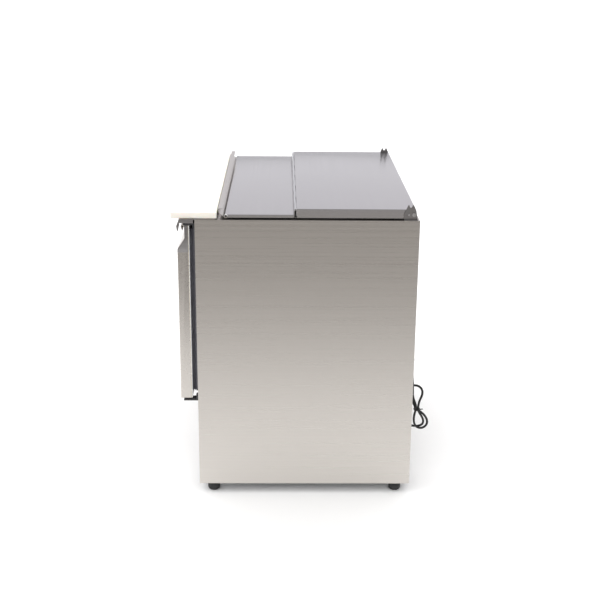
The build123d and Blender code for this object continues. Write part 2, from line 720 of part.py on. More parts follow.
def sixth_pan(index):
    """One of the three small pans at the right."""
    x0 = PAN_LEFT + 2 * (PAN_WIDE + PAN_SPACE)
    y0 = PAN_FRONT + index * (SIXTH_LONG + 1.0)
    return pan(x0, SIXTH_WIDE, y0, SIXTH_LONG - 0.5)


def divider_bars():
    """Bars between the pans: two across the opening's depth and two short ones."""
    bars = []
    z1 = WORKTOP_Z - JOINT
    for index in (1, 2):
        x = PAN_LEFT + index * (PAN_WIDE + PAN_SPACE) - PAN_SPACE / 2
        bars.append(
            block(x - BAR_WIDE / 2, x + BAR_WIDE / 2, OPENING_FRONT, OPENING_REAR, z1 - BAR_HIGH, z1)
        )
    x0 = PAN_LEFT + 2 * (PAN_WIDE + PAN_SPACE) - PAN_SPACE / 2 + BAR_WIDE / 2
    for index in (1, 2):
        y = PAN_FRONT + index * (SIXTH_LONG + 1.0) - 0.75
        bars.append(block(x0, OPENING_X, y - CROSS_WIDE / 2, y + CROSS_WIDE / 2, z1 - BAR_HIGH, z1))
    return Compound(children=bars)


def wire_shelf():
    """Right-hand wire shelf."""
    x0, x1 = MULLION / 2 + SHELF_INSET, CAVITY_X - SHELF_INSET
    y0, y1 = FRAME_BACK + SHELF_INSET, CAVITY_REAR - EVAP_DEEP - SHELF_INSET - 6
    shelf = rod_x(x0, x1, y0, SHELF_Z, SHELF_FRAME_R)
    shelf += rod_x(x0, x1, y1, SHELF_Z, SHELF_FRAME_R)
    for x in (x0, x1):
        shelf += rod_y(x, y0, y1, SHELF_Z, SHELF_FRAME_R)
    for i in range(1, SHELF_WIRES + 1):
        x = x0 + (x1 - x0) * i / (SHELF_WIRES + 1)
        shelf += rod_y(x, y0, y1, SHELF_Z + 1.5, SHELF_WIRE)
    return shelf


def shelf_clips():
    """Clips on the lining and the mullion that carry the shelves."""
    clips = []
    y0, y1 = FRAME_BACK + SHELF_INSET, CAVITY_REAR - EVAP_DEEP - SHELF_INSET - 6
    z1 = SHELF_Z - SHELF_FRAME_R
    for y in (y0 + 30, y1 - 30):
        outer = block(CAVITY_X - SHELF_INSET - 8, CAVITY_X, y - 12, y + 12, z1 - 4, z1)
        outer += block(CAVITY_X - 2, CAVITY_X, y - 12, y + 12, z1 - 18, z1)
        inner = block(-MULLION / 2 - 20, MULLION / 2 + 20, y - 8, y + 8, z1 - 4, z1)
        clips += [outer, flipped(outer), inner]
    return clips


def shelf_posts():
    """Middle posts that hold the inner shelf clips."""
    posts = []
    y0, y1 = FRAME_BACK + SHELF_INSET, CAVITY_REAR - EVAP_DEEP - SHELF_INSET - 6
    for y in (y0 + 30, y1 - 30):
        z1 = SHELF_Z - SHELF_FRAME_R - 4
        posts.append(block(-8, 8, y - 8, y + 8, CAVITY_Z, z1))
    return posts


# ---------------------------------------------------------------- evaporator
def evap_coil():
    """Fin pack and tube bends of the evaporator on the rear wall."""
    y1 = CAVITY_REAR - 2
    y0 = y1 - 30
    coil = block(-EVAP_HALF + 20, EVAP_HALF - 20, y0, y1, EVAP_LOW + 12, EVAP_HIGH - 12)
    rows = 5
    for i in range(rows):
        z = EVAP_LOW + 34 + i * (EVAP_HIGH - EVAP_LOW - 68) / (rows - 1)
        coil += rod_x(-EVAP_HALF + 8, EVAP_HALF - 8, (y0 + y1) / 2, z, PIPE_R)
    return coil


def evap_cover():
    """Housing in front of the evaporator, with the fan's mouth and the air slots."""
    y1 = CAVITY_REAR
    y0 = y1 - EVAP_DEEP
    t = EVAP_SHEET
    cover = block(-EVAP_HALF, EVAP_HALF, y0, y1, EVAP_LOW, EVAP_HIGH)
    cover -= block(-EVAP_HALF + t, EVAP_HALF - t, y0 + t, y1 + 1, EVAP_LOW + t, EVAP_HIGH - t)
    z = (EVAP_LOW + EVAP_HIGH) / 2
    cover -= rod_y(0, y0 - 1, y0 + t + 1, z, EVAP_FAN_R + 4)
    for side in (-1, 1):
        for i in range(6):
            slot_z = EVAP_LOW + 50 + i * 26
            a, b = sorted((side * (EVAP_FAN_R + 16), side * (EVAP_HALF - 14)))
            cover -= block(a, b, y0 - 1, y0 + t + 1, slot_z - 3, slot_z + 3)
    return cover


def fan_blades(x, y0, y1, z, r, hub_r, count):
    """Axial fan on a Y axis: a hub with pitched blades."""
    middle = (y0 + y1) / 2
    fan = rod_y(x, y0, y1, z, hub_r)
    for i in range(count):
        blade = Pos(0, 0, (hub_r + r) / 2 - 2) * Rot(0, 0, 32) * Box(hub_r * 1.35, 1.6, r - hub_r + 4)
        fan += Pos(x, middle, z) * Rot(0, 360 * i / count, 0) * blade
    return fan


def evap_fan():
    """Fan that moves the cold air."""
    y0 = CAVITY_REAR - EVAP_DEEP
    z = (EVAP_LOW + EVAP_HIGH) / 2
    fan = fan_blades(0, y0 + 3, y0 + 17, z, EVAP_FAN_R, 20.0, 5)
    return fan - rod_y(0, y0 + 8, y0 + 18, z, 2.5 + RUNNING)


def evap_motor():
    """Motor behind the cold fan, on its spider."""
    y0 = CAVITY_REAR - EVAP_DEEP
    z = (EVAP_LOW + EVAP_HIGH) / 2
    back = CAVITY_REAR - 32
    motor = rod_y(0, y0 + 18, back, z, 16.0)
    return motor + rod_y(0, y0 + 9, y0 + 18, z, 2.5)


def drip_tray():
    """Tray under the evaporator that catches melt water."""
    y1 = CAVITY_REAR
    y0 = y1 - EVAP_DEEP
    z1 = EVAP_LOW - 2
    tray = block(-EVAP_HALF, EVAP_HALF, y0, y1, z1 - 16, z1)
    return tray - block(-EVAP_HALF + 2, EVAP_HALF - 2, y0 + 2, y1 - 2, z1 - 14, z1 + 1)


# ---------------------------------------------------------------- machine compartment
def louvre_panel():
    """Front panel of the machine compartment, with two banks of slots and the control cut-out."""
    y0 = FRONT_Y
    z0, z1 = FOOT_HEIGHT + 1, FLOOR_Z - JOINT
    panel = block(-FRAME_X, FRAME_X, y0, y0 + SHEET, z0, z1)
    for centre in (-LOUVRE_X - 60, LOUVRE_X - 40):
        for row in range(LOUVRE_ROWS):
            z = z0 + 50 + row * LOUVRE_PITCH
            a, b = centre - LOUVRE_LONG / 2, centre + LOUVRE_LONG / 2
            slot = block(a, b, y0 - 1, y0 + SHEET + 1, z, z + LOUVRE_HIGH)
            panel -= slot
    cut = block(
        PANEL_X - PANEL_HALF + 4, PANEL_X + PANEL_HALF - 4, y0 - 1, y0 + SHEET + 1, *panel_span(4)
    )
    return panel - cut


def panel_span(inset):
    """Lowest and highest Z of the control cluster, drawn in by inset."""
    return PANEL_Z - PANEL_TALL / 2 + inset, PANEL_Z + PANEL_TALL / 2 - inset


def louvre_blades():
    """Slanted blades behind the front slots."""
    blades = []
    z0 = FOOT_HEIGHT + 1
    for centre in (-LOUVRE_X - 60, LOUVRE_X - 40):
        for row in range(LOUVRE_ROWS):
            z = z0 + 50 + row * LOUVRE_PITCH
            a, b = centre - LOUVRE_LONG / 2, centre + LOUVRE_LONG / 2
            y = FRONT_Y + SHEET
            outline = [
                (y, z + LOUVRE_HIGH + 2),
                (y, z + LOUVRE_HIGH),
                (y + 10, z - 3),
                (y + 10, z - 1),
            ]
            blades.append(prism_x(outline, a, b))
    return blades


def control_bezel():
    """Black frame round the thermostat and the mains switch."""
    y0 = FRONT_Y - 0.8
    z0, z1 = panel_span(0)
    x0, x1 = PANEL_X - PANEL_HALF, PANEL_X + PANEL_HALF
    bezel = block(x0, x1, y0, FRONT_Y, z0, z1)
    bezel += block(x0 + 4.2, x1 - 4.2, FRONT_Y, FRONT_Y + BEZEL_THICK, z0 + 4.2, z1 - 4.2)
    bezel -= block(*DISPLAY_X, y0 - 1, FRONT_Y + BEZEL_THICK + 1, PANEL_Z - 10, PANEL_Z + 12)
    for x in button_places():
        h = BUTTON_SIZE / 2 + BUTTON_GAP
        bezel -= block(x - h, x + h, y0 - 1, FRONT_Y + BEZEL_THICK + 1, *button_span(BUTTON_GAP))
    x = ROCKER_X
    hx, hz = ROCKER_HALF_X + 0.8, ROCKER_HALF_Z + 0.8
    bezel -= block(x - hx, x + hx, y0 - 1, FRONT_Y + BEZEL_THICK + 1, PANEL_Z - hz, PANEL_Z + hz)
    return bezel


def button_places():
    """X of the thermostat's buttons."""
    first = DISPLAY_X[1] + 9
    return [first + i * (BUTTON_SIZE + 4) for i in range(BUTTONS)]


def button_span(clear):
    """Lowest and highest Z of the buttons, with a clearance round them."""
    return PANEL_Z - BUTTON_SIZE / 2 - clear, PANEL_Z + BUTTON_SIZE / 2 + clear


def display_window():
    """Clear window over the thermostat's figures."""
    x0, x1 = DISPLAY_X
    return block(x0, x1, FRONT_Y - 0.4, FRONT_Y + BEZEL_THICK, PANEL_Z - 10, PANEL_Z + 12)


def button(index):
    """One of the thermostat's buttons."""
    x = button_places()[index]
    h = BUTTON_SIZE / 2
    cap = block(x - h, x + h, FRONT_Y - 1.6, FRONT_Y + BEZEL_THICK - 1, *button_span(0))
    return fillet(cap.edges().filter_by(Axis.Y), 1.5)


def rocker_switch():
    """Mains rocker, a shallow V that tips about its own pivot."""
    x0, x1 = ROCKER_X - ROCKER_HALF_X, ROCKER_X + ROCKER_HALF_X
    y = FRONT_Y
    h = ROCKER_HALF_Z
    outline = [
        (y - 3.5, PANEL_Z - h + 0.6),
        (y - 0.8, PANEL_Z + 1),
        (y - 0.2, PANEL_Z + h - 0.8),
        (y + 3.5, PANEL_Z + h - 2.5),
        (y + 6, PANEL_Z),
        (y + 3.5, PANEL_Z - h + 2.5),
    ]
    return prism_x(outline, x0, x1) - rod_x(x0 - 1, x1 + 1, y + 2.5, PANEL_Z, 1.5 + RUNNING)


def rocker_pin():
    """Pin that the rocker tips on."""
    x0, x1 = ROCKER_X - ROCKER_HALF_X, ROCKER_X + ROCKER_HALF_X
    return rod_x(x0 - 0.8, x1 + 0.8, FRONT_Y + 2.5, PANEL_Z, 1.5)


def control_box():
    """Thermostat and switch housing behind the bezel."""
    x0, x1 = PANEL_X - PANEL_HALF + 5, PANEL_X + PANEL_HALF - 5
    z0, z1 = panel_span(5)
    return block(x0, x1, FRONT_Y + BEZEL_THICK + 6, FRONT_Y + 60, z0, z1)


def compressor_shell():
    """Welded steel dome of the compressor, with its base plate and terminal cover."""
    z0 = COMPRESSOR_Z
    dome = rod_z(COMPRESSOR_X, COMPRESSOR_Y, z0, z0 + COMPRESSOR_HIGH, COMPRESSOR_R)
    dome = fillet(dome.edges(), 30.0)
    plate = block(
        COMPRESSOR_X - 85, COMPRESSOR_X + 85, COMPRESSOR_Y - 60, COMPRESSOR_Y + 60, z0 - 4, z0 + 3
    )
    cover = block(
        COMPRESSOR_X + COMPRESSOR_R - 10,
        COMPRESSOR_X + COMPRESSOR_R + 34,
        COMPRESSOR_Y - 28,
        COMPRESSOR_Y + 28,
        z0 + 45,
        z0 + 105,
    )
    return dome + plate + cover


def grommet_places():
    """Centres of the compressor's rubber feet."""
    return [(COMPRESSOR_X + i * 74, COMPRESSOR_Y + j * 50) for i in (-1, 1) for j in (-1, 1)]


def compressor_grommets():
    """Rubber feet under the compressor's base plate."""
    top = COMPRESSOR_Z - 4
    return [rod_z(x, y, BASE_TOP, top, 9.0) for x, y in grommet_places()]


def coil_front():
    """Front face of the condenser."""
    return FRONT_Y + 34.0


def condenser_coil():
    """Fin pack of the condenser with its tube ends."""
    y0 = coil_front()
    y1 = y0 + COIL_DEEP
    x0, x1 = COIL_X - COIL_HALF, COIL_X + COIL_HALF
    coil = block(x0, x1, y0, y1, COIL_LOW, COIL_HIGH)
    rows = 6
    for i in range(rows):
        z = COIL_LOW + 20 + i * (COIL_HIGH - COIL_LOW - 40) / (rows - 1)
        coil += rod_x(x0 - 14, x1 + 14, (y0 + y1) / 2, z, PIPE_R)
    return coil


def fan_centre():
    """X and Z of the condenser fan's axis."""
    return COIL_X, (COIL_LOW + COIL_HIGH) / 2


def fan_shroud():
    """Sheet behind the condenser with the fan's ring."""
    x, z = fan_centre()
    y0 = coil_front() + COIL_DEEP + 1
    shroud = block(x - COIL_HALF, x + COIL_HALF, y0, y0 + 1.5, BASE_TOP, COIL_HIGH)
    ring = rod_y(x, y0, y0 + 26, z, FAN_R + 6)
    return shroud + ring - rod_y(x, y0 - 1, y0 + 27, z, FAN_R + 4)


def condenser_fan():
    """Fan that draws air through the condenser."""
    x, z = fan_centre()
    y0 = coil_front() + COIL_DEEP + 6
    fan = fan_blades(x, y0, y0 + 20, z, FAN_R, 24.0, 5)
    return fan - rod_y(x, y0 + 8, y0 + 21, z, 3.0 + RUNNING)


def fan_motor():
    """Condenser fan motor with its shaft, on a post from the base."""
    x, z = fan_centre()
    y0 = coil_front() + COIL_DEEP + 27
    motor = rod_y(x, y0 + 2, y0 + 62, z, 32.0)
    motor += rod_y(x, y0 - 11, y0 + 2, z, 3.0)
    motor += block(x - 12, x + 12, y0 + 22, y0 + 42, BASE_TOP, z - 20)
    return motor + block(x - 40, x + 40, y0 + 12, y0 + 52, BASE_TOP, BASE_TOP + 2)


def filter_drier():
    """Copper filter drier on the liquid line."""
    y, z = coil_front() + 190, 150.0
    body = rod_x(-40, 70, y, z, 14.0)
    body = fillet(body.edges(), 8.0)
    return body


def refrigerant_pipes():
    """Discharge, liquid and suction lines between the machine's pieces."""
    comp_top = COMPRESSOR_Z + COMPRESSOR_HIGH
    coil_end = COIL_X + COIL_HALF + 14
    mid_y = coil_front() + COIL_DEEP / 2
    drier_y, drier_z = coil_front() + 190, 150.0
    top_row = COIL_HIGH - 20
    low_row = COIL_LOW + 20
    discharge = [
        (coil_end, mid_y, top_row),
        (coil_end + 60, mid_y, top_row),
        (coil_end + 130, mid_y + 60, top_row),
        (COMPRESSOR_X - 30, COMPRESSOR_Y - 20, comp_top + 20),
        (COMPRESSOR_X - 30, COMPRESSOR_Y - 10, comp_top - 10),
    ]
    liquid = [
        (coil_end, mid_y, low_row),
        (coil_end + 40, mid_y, low_row),
        (coil_end + 90, drier_y - 50, drier_z - 20),
        (coil_end + 90, drier_y, drier_z),
        (70.0, drier_y, drier_z),
    ]
    suction = [
        (COMPRESSOR_X + 25, COMPRESSOR_Y + 20, comp_top - 10),
        (COMPRESSOR_X + 25, COMPRESSOR_Y + 24, comp_top + 30),
        (COMPRESSOR_X - 60, COMPRESSOR_Y + 150, comp_top + 40),
        (40.0, CAVITY_REAR - 60, comp_top + 45),
        (40.0, CAVITY_REAR - 60, FLOOR_Z - JOINT),
    ]
    lines = []
    for route in (discharge, liquid, suction):
        bends = [min(radius, PIPE_BEND) for radius in arc_radii(route)]
        lines.append(tube_along(route, bends, PIPE_R))
    return lines


def foot_places():
    """Centres of the four levelling feet."""
    x = HALF_WIDTH - FOOT_INSET_X
    rows = (FRONT_Y + FOOT_INSET_Y, REAR_Y - FOOT_INSET_Y)
    return [(side * x, y) for y in rows for side in (-1, 1)]


def levelling_foot(x, y):
    """Rubber-shod foot on a threaded stem."""
    pad = rod_z(x, y, 0, FOOT_PAD, FOOT_R)
    pad = fillet(pad.edges().sort_by(Axis.Z)[:1], FOOT_EDGE)
    pad = fillet(pad.edges().filter_by(GeomType.CIRCLE).sort_by(Axis.Z)[-1:], FOOT_SHOULDER)
    neck = rod_z(x, y, FOOT_PAD - 1, FOOT_HEIGHT - GAP, FOOT_NECK_R)
    return pad + neck + rod_z(x, y, FOOT_HEIGHT - 2, FOOT_HEIGHT + FOOT_STEM, FOOT_STEM_R)


def panel_screws():
    """Screws at the louvre panel's corners."""
    screws = []
    for x in (-FRAME_X + 12, FRAME_X - 12):
        for z in (FOOT_HEIGHT + 22, FLOOR_Z - 20):
            screws.append(rod_y(x, FRONT_Y - 1.5, FRONT_Y, z, 4.0))
    return Compound(children=screws)


# ---------------------------------------------------------------- mains lead

def cord_gland():
    """Threaded gland with its nut and the tapered strain relief."""
    y = REAR_Y
    gland = rod_y(EXIT_X, y - 12, y, EXIT_Z, GLAND_R) + rod_y(EXIT_X, y, y + 4, EXIT_Z, GLAND_R + 3)
    gland += rod_y(EXIT_X, y - SHEET - 5, y - SHEET, EXIT_Z, GLAND_R + 3.5)
    taper = Pos(EXIT_X, y + 4 + (RELIEF_LONG - 4) / 2, EXIT_Z) * Rot(-90, 0, 0)
    return gland + taper * Cone(GLAND_R - 0.5, CORD_R + 1.2, RELIEF_LONG - 4)


def cord_lead():
    """The lead from the strain relief to the tied hank."""
    return tube_along(LEAD, arc_radii(LEAD), CORD_R)


def cord_hank():
    """Outer shape of the tied part: its lower loops, the coil behind the table and the drop to the plug."""
    x, y, z = TIE
    outline = [
        (y - 24, z + 29),
        (y - 14, z + 29),
        (y - 8, z + 7),
        (y + 8, z + 7),
        (y + 8, z - 6),
        (y + 36, z - HANK_LOW + 24),
        (y + 26, z - HANK_LOW),
        (y - 12, z - HANK_LOW),
        (y - 27, z - HANK_LOW + 11),
    ]
    lower = prism_x(outline, x - 15, x + 15)
    drop = rod_z(PLUG_X, PLUG_Y, PLUG_TOP, PLUG_TOP + PLUG_DROP, CORD_R)
    return lower + coil() + drop


def coil():
    """Outer shape of the coil: a leaning slab with its corners cut off."""
    x, y, z = TIE
    flat, high = COIL_WIDE - COIL_ROUND, COIL_LONG - COIL_ROUND
    half = [(-COIL_WIDE, -high), (-flat, -COIL_LONG), (flat, -COIL_LONG), (COIL_WIDE, -high)]
    corners = half + [(-across, -up) for across, up in half]
    cosine, sine = cos(radians(COIL_LEAN)), sin(radians(COIL_LEAN))
    middle_x, middle_z = x + COIL_MIDDLE[0], z + COIL_MIDDLE[1]
    points = [
        (middle_x + across * cosine - up * sine, y - 30, middle_z + across * sine + up * cosine)
        for across, up in corners
    ]
    return extrude(make_face(Polyline(points, close=True)), amount=COIL_THICK, dir=(0, 1, 0))


def cord_tie():
    """Wire tie round the hank's waist."""
    x, y, z = TIE
    band = block(x - 17, x + 17, y - 10, y + 10, z - 3, z + 3)
    return band - block(x - 15, x + 15, y - 8, y + 8, z - 4, z + 4)


def plug():
    """Mains plug hanging from the end of the lead, beside the hank."""
    z1 = PLUG_TOP
    body = rod_z(PLUG_X, PLUG_Y, z1 - PLUG_LONG, z1 - 8, PLUG_R)
    body = fillet(body.edges().sort_by(Axis.Z)[-1:], 5.0)
    sleeve = Pos(PLUG_X, PLUG_Y, z1 - 5) * Cone(8.0, CORD_R + 1.0, 10)
    pin_z = z1 - PLUG_LONG
    pins = rod_z(PLUG_X - 9.5, PLUG_Y, pin_z - 18, pin_z, 2.4)
    pins += rod_z(PLUG_X + 9.5, PLUG_Y, pin_z - 18, pin_z, 2.4)
    return body + sleeve + pins


# ---------------------------------------------------------------- the whole table
def build():
    """Every node's name and shape."""
    nodes = {
        "side_panels": pair(side_panel()),
        "rear_panel": rear_panel(),
        "base_pan": Compound(children=[base_pan(), *foot_nuts()]),
        "cabinet_insulation": cabinet_insulation(),
        "inner_liner": inner_liner(),
        "front_frame": front_frame(),
        "worktop_deck": worktop_deck(),
        "front_rail": front_rail(),
        "board_brackets": pair(board_bracket()),
        "cutting_board": cutting_board(),
        "rear_lid_shell": rear_lid_shell(),
        "rear_lid_core": Compound(children=[rear_lid_foam(), *lid_pivot_bushes()]),
        "rear_lid_lining": rear_lid_lining(),
        "lid_brackets": pair(lid_bracket()),
        "pivot_screws": pivot_screws(),
        "front_lid_shell": front_lid_shell(),
        "lid_handle": Compound(children=[lid_handle(), *handle_rivets()]),
        "hinge_leaf_rear": Compound(children=[hinge_leaf_rear(), hinge_pin()]),
        "hinge_leaf_front": hinge_leaf_front(),
        "lid_bumpers": lid_bumpers(),
        "full_pans": Compound(children=[full_pan(0), full_pan(1)]),
        "sixth_pans": Compound(children=[sixth_pan(i) for i in range(3)]),
        "divider_bars": divider_bars(),
        "wire_shelves": pair(wire_shelf()),
        "shelf_clips": Compound(children=shelf_clips() + shelf_posts()),
        "evap_coil": evap_coil(),
        "evap_cover": Compound(children=[evap_cover(), drip_tray()]),
        "evap_fan": evap_fan(),
        "fan_motors": Compound(children=[fan_motor(), evap_motor()]),
        "louvre_panel": Compound(children=[louvre_panel(), *louvre_blades()]),
        "panel_screws": panel_screws(),
        "control_bezel": control_bezel(),
        "display_window": display_window(),
        "rocker_switch": rocker_switch(),
        "control_box": Compound(children=[control_box(), rocker_pin()]),
        "compressor": Compound(children=[compressor_shell(), *compressor_grommets()]),
        "condenser": Compound(children=[condenser_coil(), fan_shroud()]),
        "condenser_fan": condenser_fan(),
        "refrigerant_pipes": Compound(children=[filter_drier(), *refrigerant_pipes()]),
        "door_hinges": Compound(children=[*pair(lower_hinge()), *pair(upper_hinge())]),
        "cord_gland": cord_gland(),
        "cord_lead": cord_lead(),
        "cord_hank": cord_hank(),
        "cord_tie": cord_tie(),
        "plug": plug(),
    }
    door = {
        "skin": door_skin(),
        "core": Compound(children=[door_core(), *door_bushes()]),
        "lining": door_lining(),
        "gasket": door_gasket(),
    }
    for name, shape in door.items():
        nodes[f"right_door_{name}"] = shape
        nodes[f"left_door_{name}"] = flipped(shape)
    for i in range(BUTTONS):
        nodes[f"button_{i + 1}"] = button(i)
    for name, (x, y) in zip(FOOT_NAMES, foot_places()):
        nodes[f"foot_{name}"] = levelling_foot(x, y)
    return nodes


def write(nodes):
    """One STEP file for each node."""
    os.makedirs("parts", exist_ok=True)
    for name, shape in nodes.items():
        export_step(shape, f"parts/{name}.step")


def print_cord_bends():
    """Radius of each arc of the lead, in millimetres."""
    print("lead's arc radii:", ", ".join(f"{radius:.1f}" for radius in arc_radii(LEAD)))


if __name__ == "__main__":
    write(build())
    print_cord_bends()
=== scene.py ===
"""Looks of a refrigerated sandwich prep table: finishes, detail meshes, mains lead and studio.

Metres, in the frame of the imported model: +X is the right-hand end seen from the front, +Y is the
rear and +Z is up. Each sub-assembly is a class whose build() makes its meshes and dresses them.
"""

import json
import logging
import math
from dataclasses import dataclass
from enum import Enum

import bmesh
import bpy
from mathutils import Matrix, Vector

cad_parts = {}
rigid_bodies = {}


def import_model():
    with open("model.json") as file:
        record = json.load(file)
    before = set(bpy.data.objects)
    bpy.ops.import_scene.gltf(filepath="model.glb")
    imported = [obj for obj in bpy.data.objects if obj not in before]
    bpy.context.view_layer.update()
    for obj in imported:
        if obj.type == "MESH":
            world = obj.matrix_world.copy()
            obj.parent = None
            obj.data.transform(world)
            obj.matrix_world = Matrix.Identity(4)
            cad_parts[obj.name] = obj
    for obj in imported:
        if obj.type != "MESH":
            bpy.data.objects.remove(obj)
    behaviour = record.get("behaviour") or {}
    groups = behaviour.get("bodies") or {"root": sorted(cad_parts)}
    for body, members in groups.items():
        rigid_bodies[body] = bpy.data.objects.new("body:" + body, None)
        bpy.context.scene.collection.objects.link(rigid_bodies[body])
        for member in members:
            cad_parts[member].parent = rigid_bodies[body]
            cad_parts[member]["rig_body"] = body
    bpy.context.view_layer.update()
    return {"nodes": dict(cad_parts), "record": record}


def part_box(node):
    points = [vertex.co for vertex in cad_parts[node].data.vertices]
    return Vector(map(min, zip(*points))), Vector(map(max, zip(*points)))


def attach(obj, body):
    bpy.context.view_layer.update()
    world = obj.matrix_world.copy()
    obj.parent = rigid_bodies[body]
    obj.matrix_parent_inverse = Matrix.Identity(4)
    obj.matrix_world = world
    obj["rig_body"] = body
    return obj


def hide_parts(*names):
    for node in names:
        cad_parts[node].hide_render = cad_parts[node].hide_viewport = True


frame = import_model()
LOG = logging.getLogger("prep_table")
MM = 0.001
Point = tuple[float, float, float]
BMesh = bmesh.types.BMesh
Socket = bpy.types.NodeSocket
SHARP = 32.0  # degrees between two faces whose shared edge stays sharp
LINE_DEPTH = 0.12 * MM  # of the brushed relief
LINE_ROUGHNESS = 0.04  # how much the lines change the roughness


# --- shader building
class BrushLine(Enum):
    """Direction that a sheet was brushed in, as the stretch of its line pattern."""

    ALONG_X = (1.6, 420.0, 420.0)
    ALONG_Y = (420.0, 1.6, 420.0)
    NONE = (40.0, 40.0, 40.0)


class Tree:
    """Node tree of a material or a group, with short calls to add and join nodes."""

    def __init__(self, tree: bpy.types.NodeTree) -> None:
        """Takes over the tree."""
        self.tree = tree

    def add(self, kind: str, inputs: dict | None = None, **settings: object) -> bpy.types.Node:
        """Adds a node.

        Args:
            kind: The node's type, without its ShaderNode prefix.
            inputs: Values or sockets for the node's inputs, by name or number.
            settings: Properties of the node.

        Returns:
            The new node.
        """
        node = self.tree.nodes.new("ShaderNode" + kind)
        for name, value in settings.items():
            setattr(node, name, value)
        self.feed(node, inputs or {})
        return node

    def feed(self, node: bpy.types.Node, inputs: dict) -> None:
        """Gives a node's inputs, by name or number, their values or sockets."""
        for key, value in inputs.items():
            self.give(node.inputs[key], value)

    def give(self, target: Socket, value: object) -> None:
        """Gives one input a value, or links it to a socket."""
        if isinstance(value, Socket):
            self.tree.links.new(value, target)
        else:
            target.default_value = value

    def blend(self, factor: Socket, low: object, high: object) -> Socket:
        """Colour between low and high, each a colour or a socket, by factor."""
        mix = self.add("Mix", {0: factor}, data_type="RGBA")
        for name, value in (("A_Color", low), ("B_Color", high)):
            target = next(s for s in mix.inputs if s.identifier == name)
            self.give(target, value if isinstance(value, Socket) else (*value, 1.0))
        return next(s for s in mix.outputs if s.identifier == "Result_Color")

    def noise(self, place: Socket, scale: object, detail: float, roughness: float = 0.5) -> Socket:
        """Value of a noise pattern at a place."""
        inputs = {"Vector": place, "Scale": scale, "Detail": detail, "Roughness": roughness}
        return self.add("TexNoise", inputs).outputs["Fac"]

    def part(self, value: Socket, low: float, high: float) -> Socket:
        """Value's part from low to high stretched to run from 0 to 1."""
        inputs = {"Value": value, "From Min": low, "From Max": high}
        return self.add("MapRange", inputs).outputs["Result"]

    def span(self, value: Socket, low: float, high: float) -> Socket:
        """Value from 0 to 1 stretched to run from low to high."""
        ranged = self.add("MapRange", {"Value": value, "To Min": low, "To Max": high})
        return ranged.outputs["Result"]

    def bump(self, height: Socket, strength: float, depth: float) -> Socket:
        """Normal of a relief of that depth."""
        node = self.add("Bump", {"Height": height, "Strength": strength, "Distance": depth})
        return node.outputs["Normal"]


def new_group(name: str, inputs: dict[str, object], outputs: tuple[str, ...]) -> tuple[Tree, dict, dict]:
    """Starts a shader node group.

    Args:
        name: The group's name.
        inputs: Input names with their defaults; a default of None makes a vector.
        outputs: Names of the float outputs.

    Returns:
        The tree, the group's inner input sockets and its inner output sockets, by name.
    """
    group = bpy.data.node_groups.new(name, "ShaderNodeTree")
    for label, default in inputs.items():
        kind = "NodeSocketVector" if default is None else "NodeSocketFloat"
        socket = group.interface.new_socket(label, in_out="INPUT", socket_type=kind)
        if default is not None:
            socket.default_value = default
    for label in outputs:
        group.interface.new_socket(label, in_out="OUTPUT", socket_type="NodeSocketFloat")
    start = group.nodes.new("NodeGroupInput")
    end = group.nodes.new("NodeGroupOutput")
    return Tree(group), {s.name: s for s in start.outputs}, {s.name: s for s in end.inputs}


def line_group() -> bpy.types.NodeTree:
    """Brushed lines of two widths, and slow clouds, from a stretched position."""
    ends = {"Position": None, "Stretched": None}
    tree, given, wanted = new_group("brush_lines", ends, ("Lines", "Clouds"))
    fine = tree.noise(given["Stretched"], 3.0, 4.0, 0.8)
    broad = tree.noise(given["Stretched"], 0.35, 2.0)
    both = tree.add("Math", {0: fine, 1: broad}, operation="ADD")
    clouds = tree.noise(given["Position"], 2.6, 3.0, 0.55)
    tree.give(wanted["Lines"], tree.part(both.outputs[0], 0.72, 1.28))
    tree.give(wanted["Clouds"], tree.part(clouds, 0.3, 0.7))
    return tree.tree


def grain_group() -> bpy.types.NodeTree:
    """Fine moulded grain with broader blotches."""
    ends = {"Position": None, "Scale": 900.0}
    tree, given, wanted = new_group("moulded_grain", ends, ("Grain", "Blotch"))
    blotch = tree.noise(given["Position"], 14.0, 4.0, 0.6)
    tree.give(wanted["Grain"], tree.noise(given["Position"], given["Scale"], 3.0))
    tree.give(wanted["Blotch"], tree.part(blotch, 0.3, 0.7))
    return tree.tree


LINE_GROUP = line_group()
GRAIN_GROUP = grain_group()


def start_material(name: str) -> tuple[bpy.types.Material, Tree, bpy.types.Node, Socket]:
    """An empty material with its main shader.

    Args:
        name: The material's name.

    Returns:
        The material, its tree, its Principled BSDF and the object position socket.
    """
    material = bpy.data.materials.new(name)
    material.use_nodes = True
    tree = Tree(material.node_tree)
    shader = material.node_tree.nodes["Principled BSDF"]
    return material, tree, shader, tree.add("TexCoord").outputs["Object"]


def shades(tint: Point, low: float, high: float) -> tuple[Point, Point]:
    """A darker and a lighter shade of a tint."""
    return tuple(v * low for v in tint), tuple(min(1.0, v * high) for v in tint)


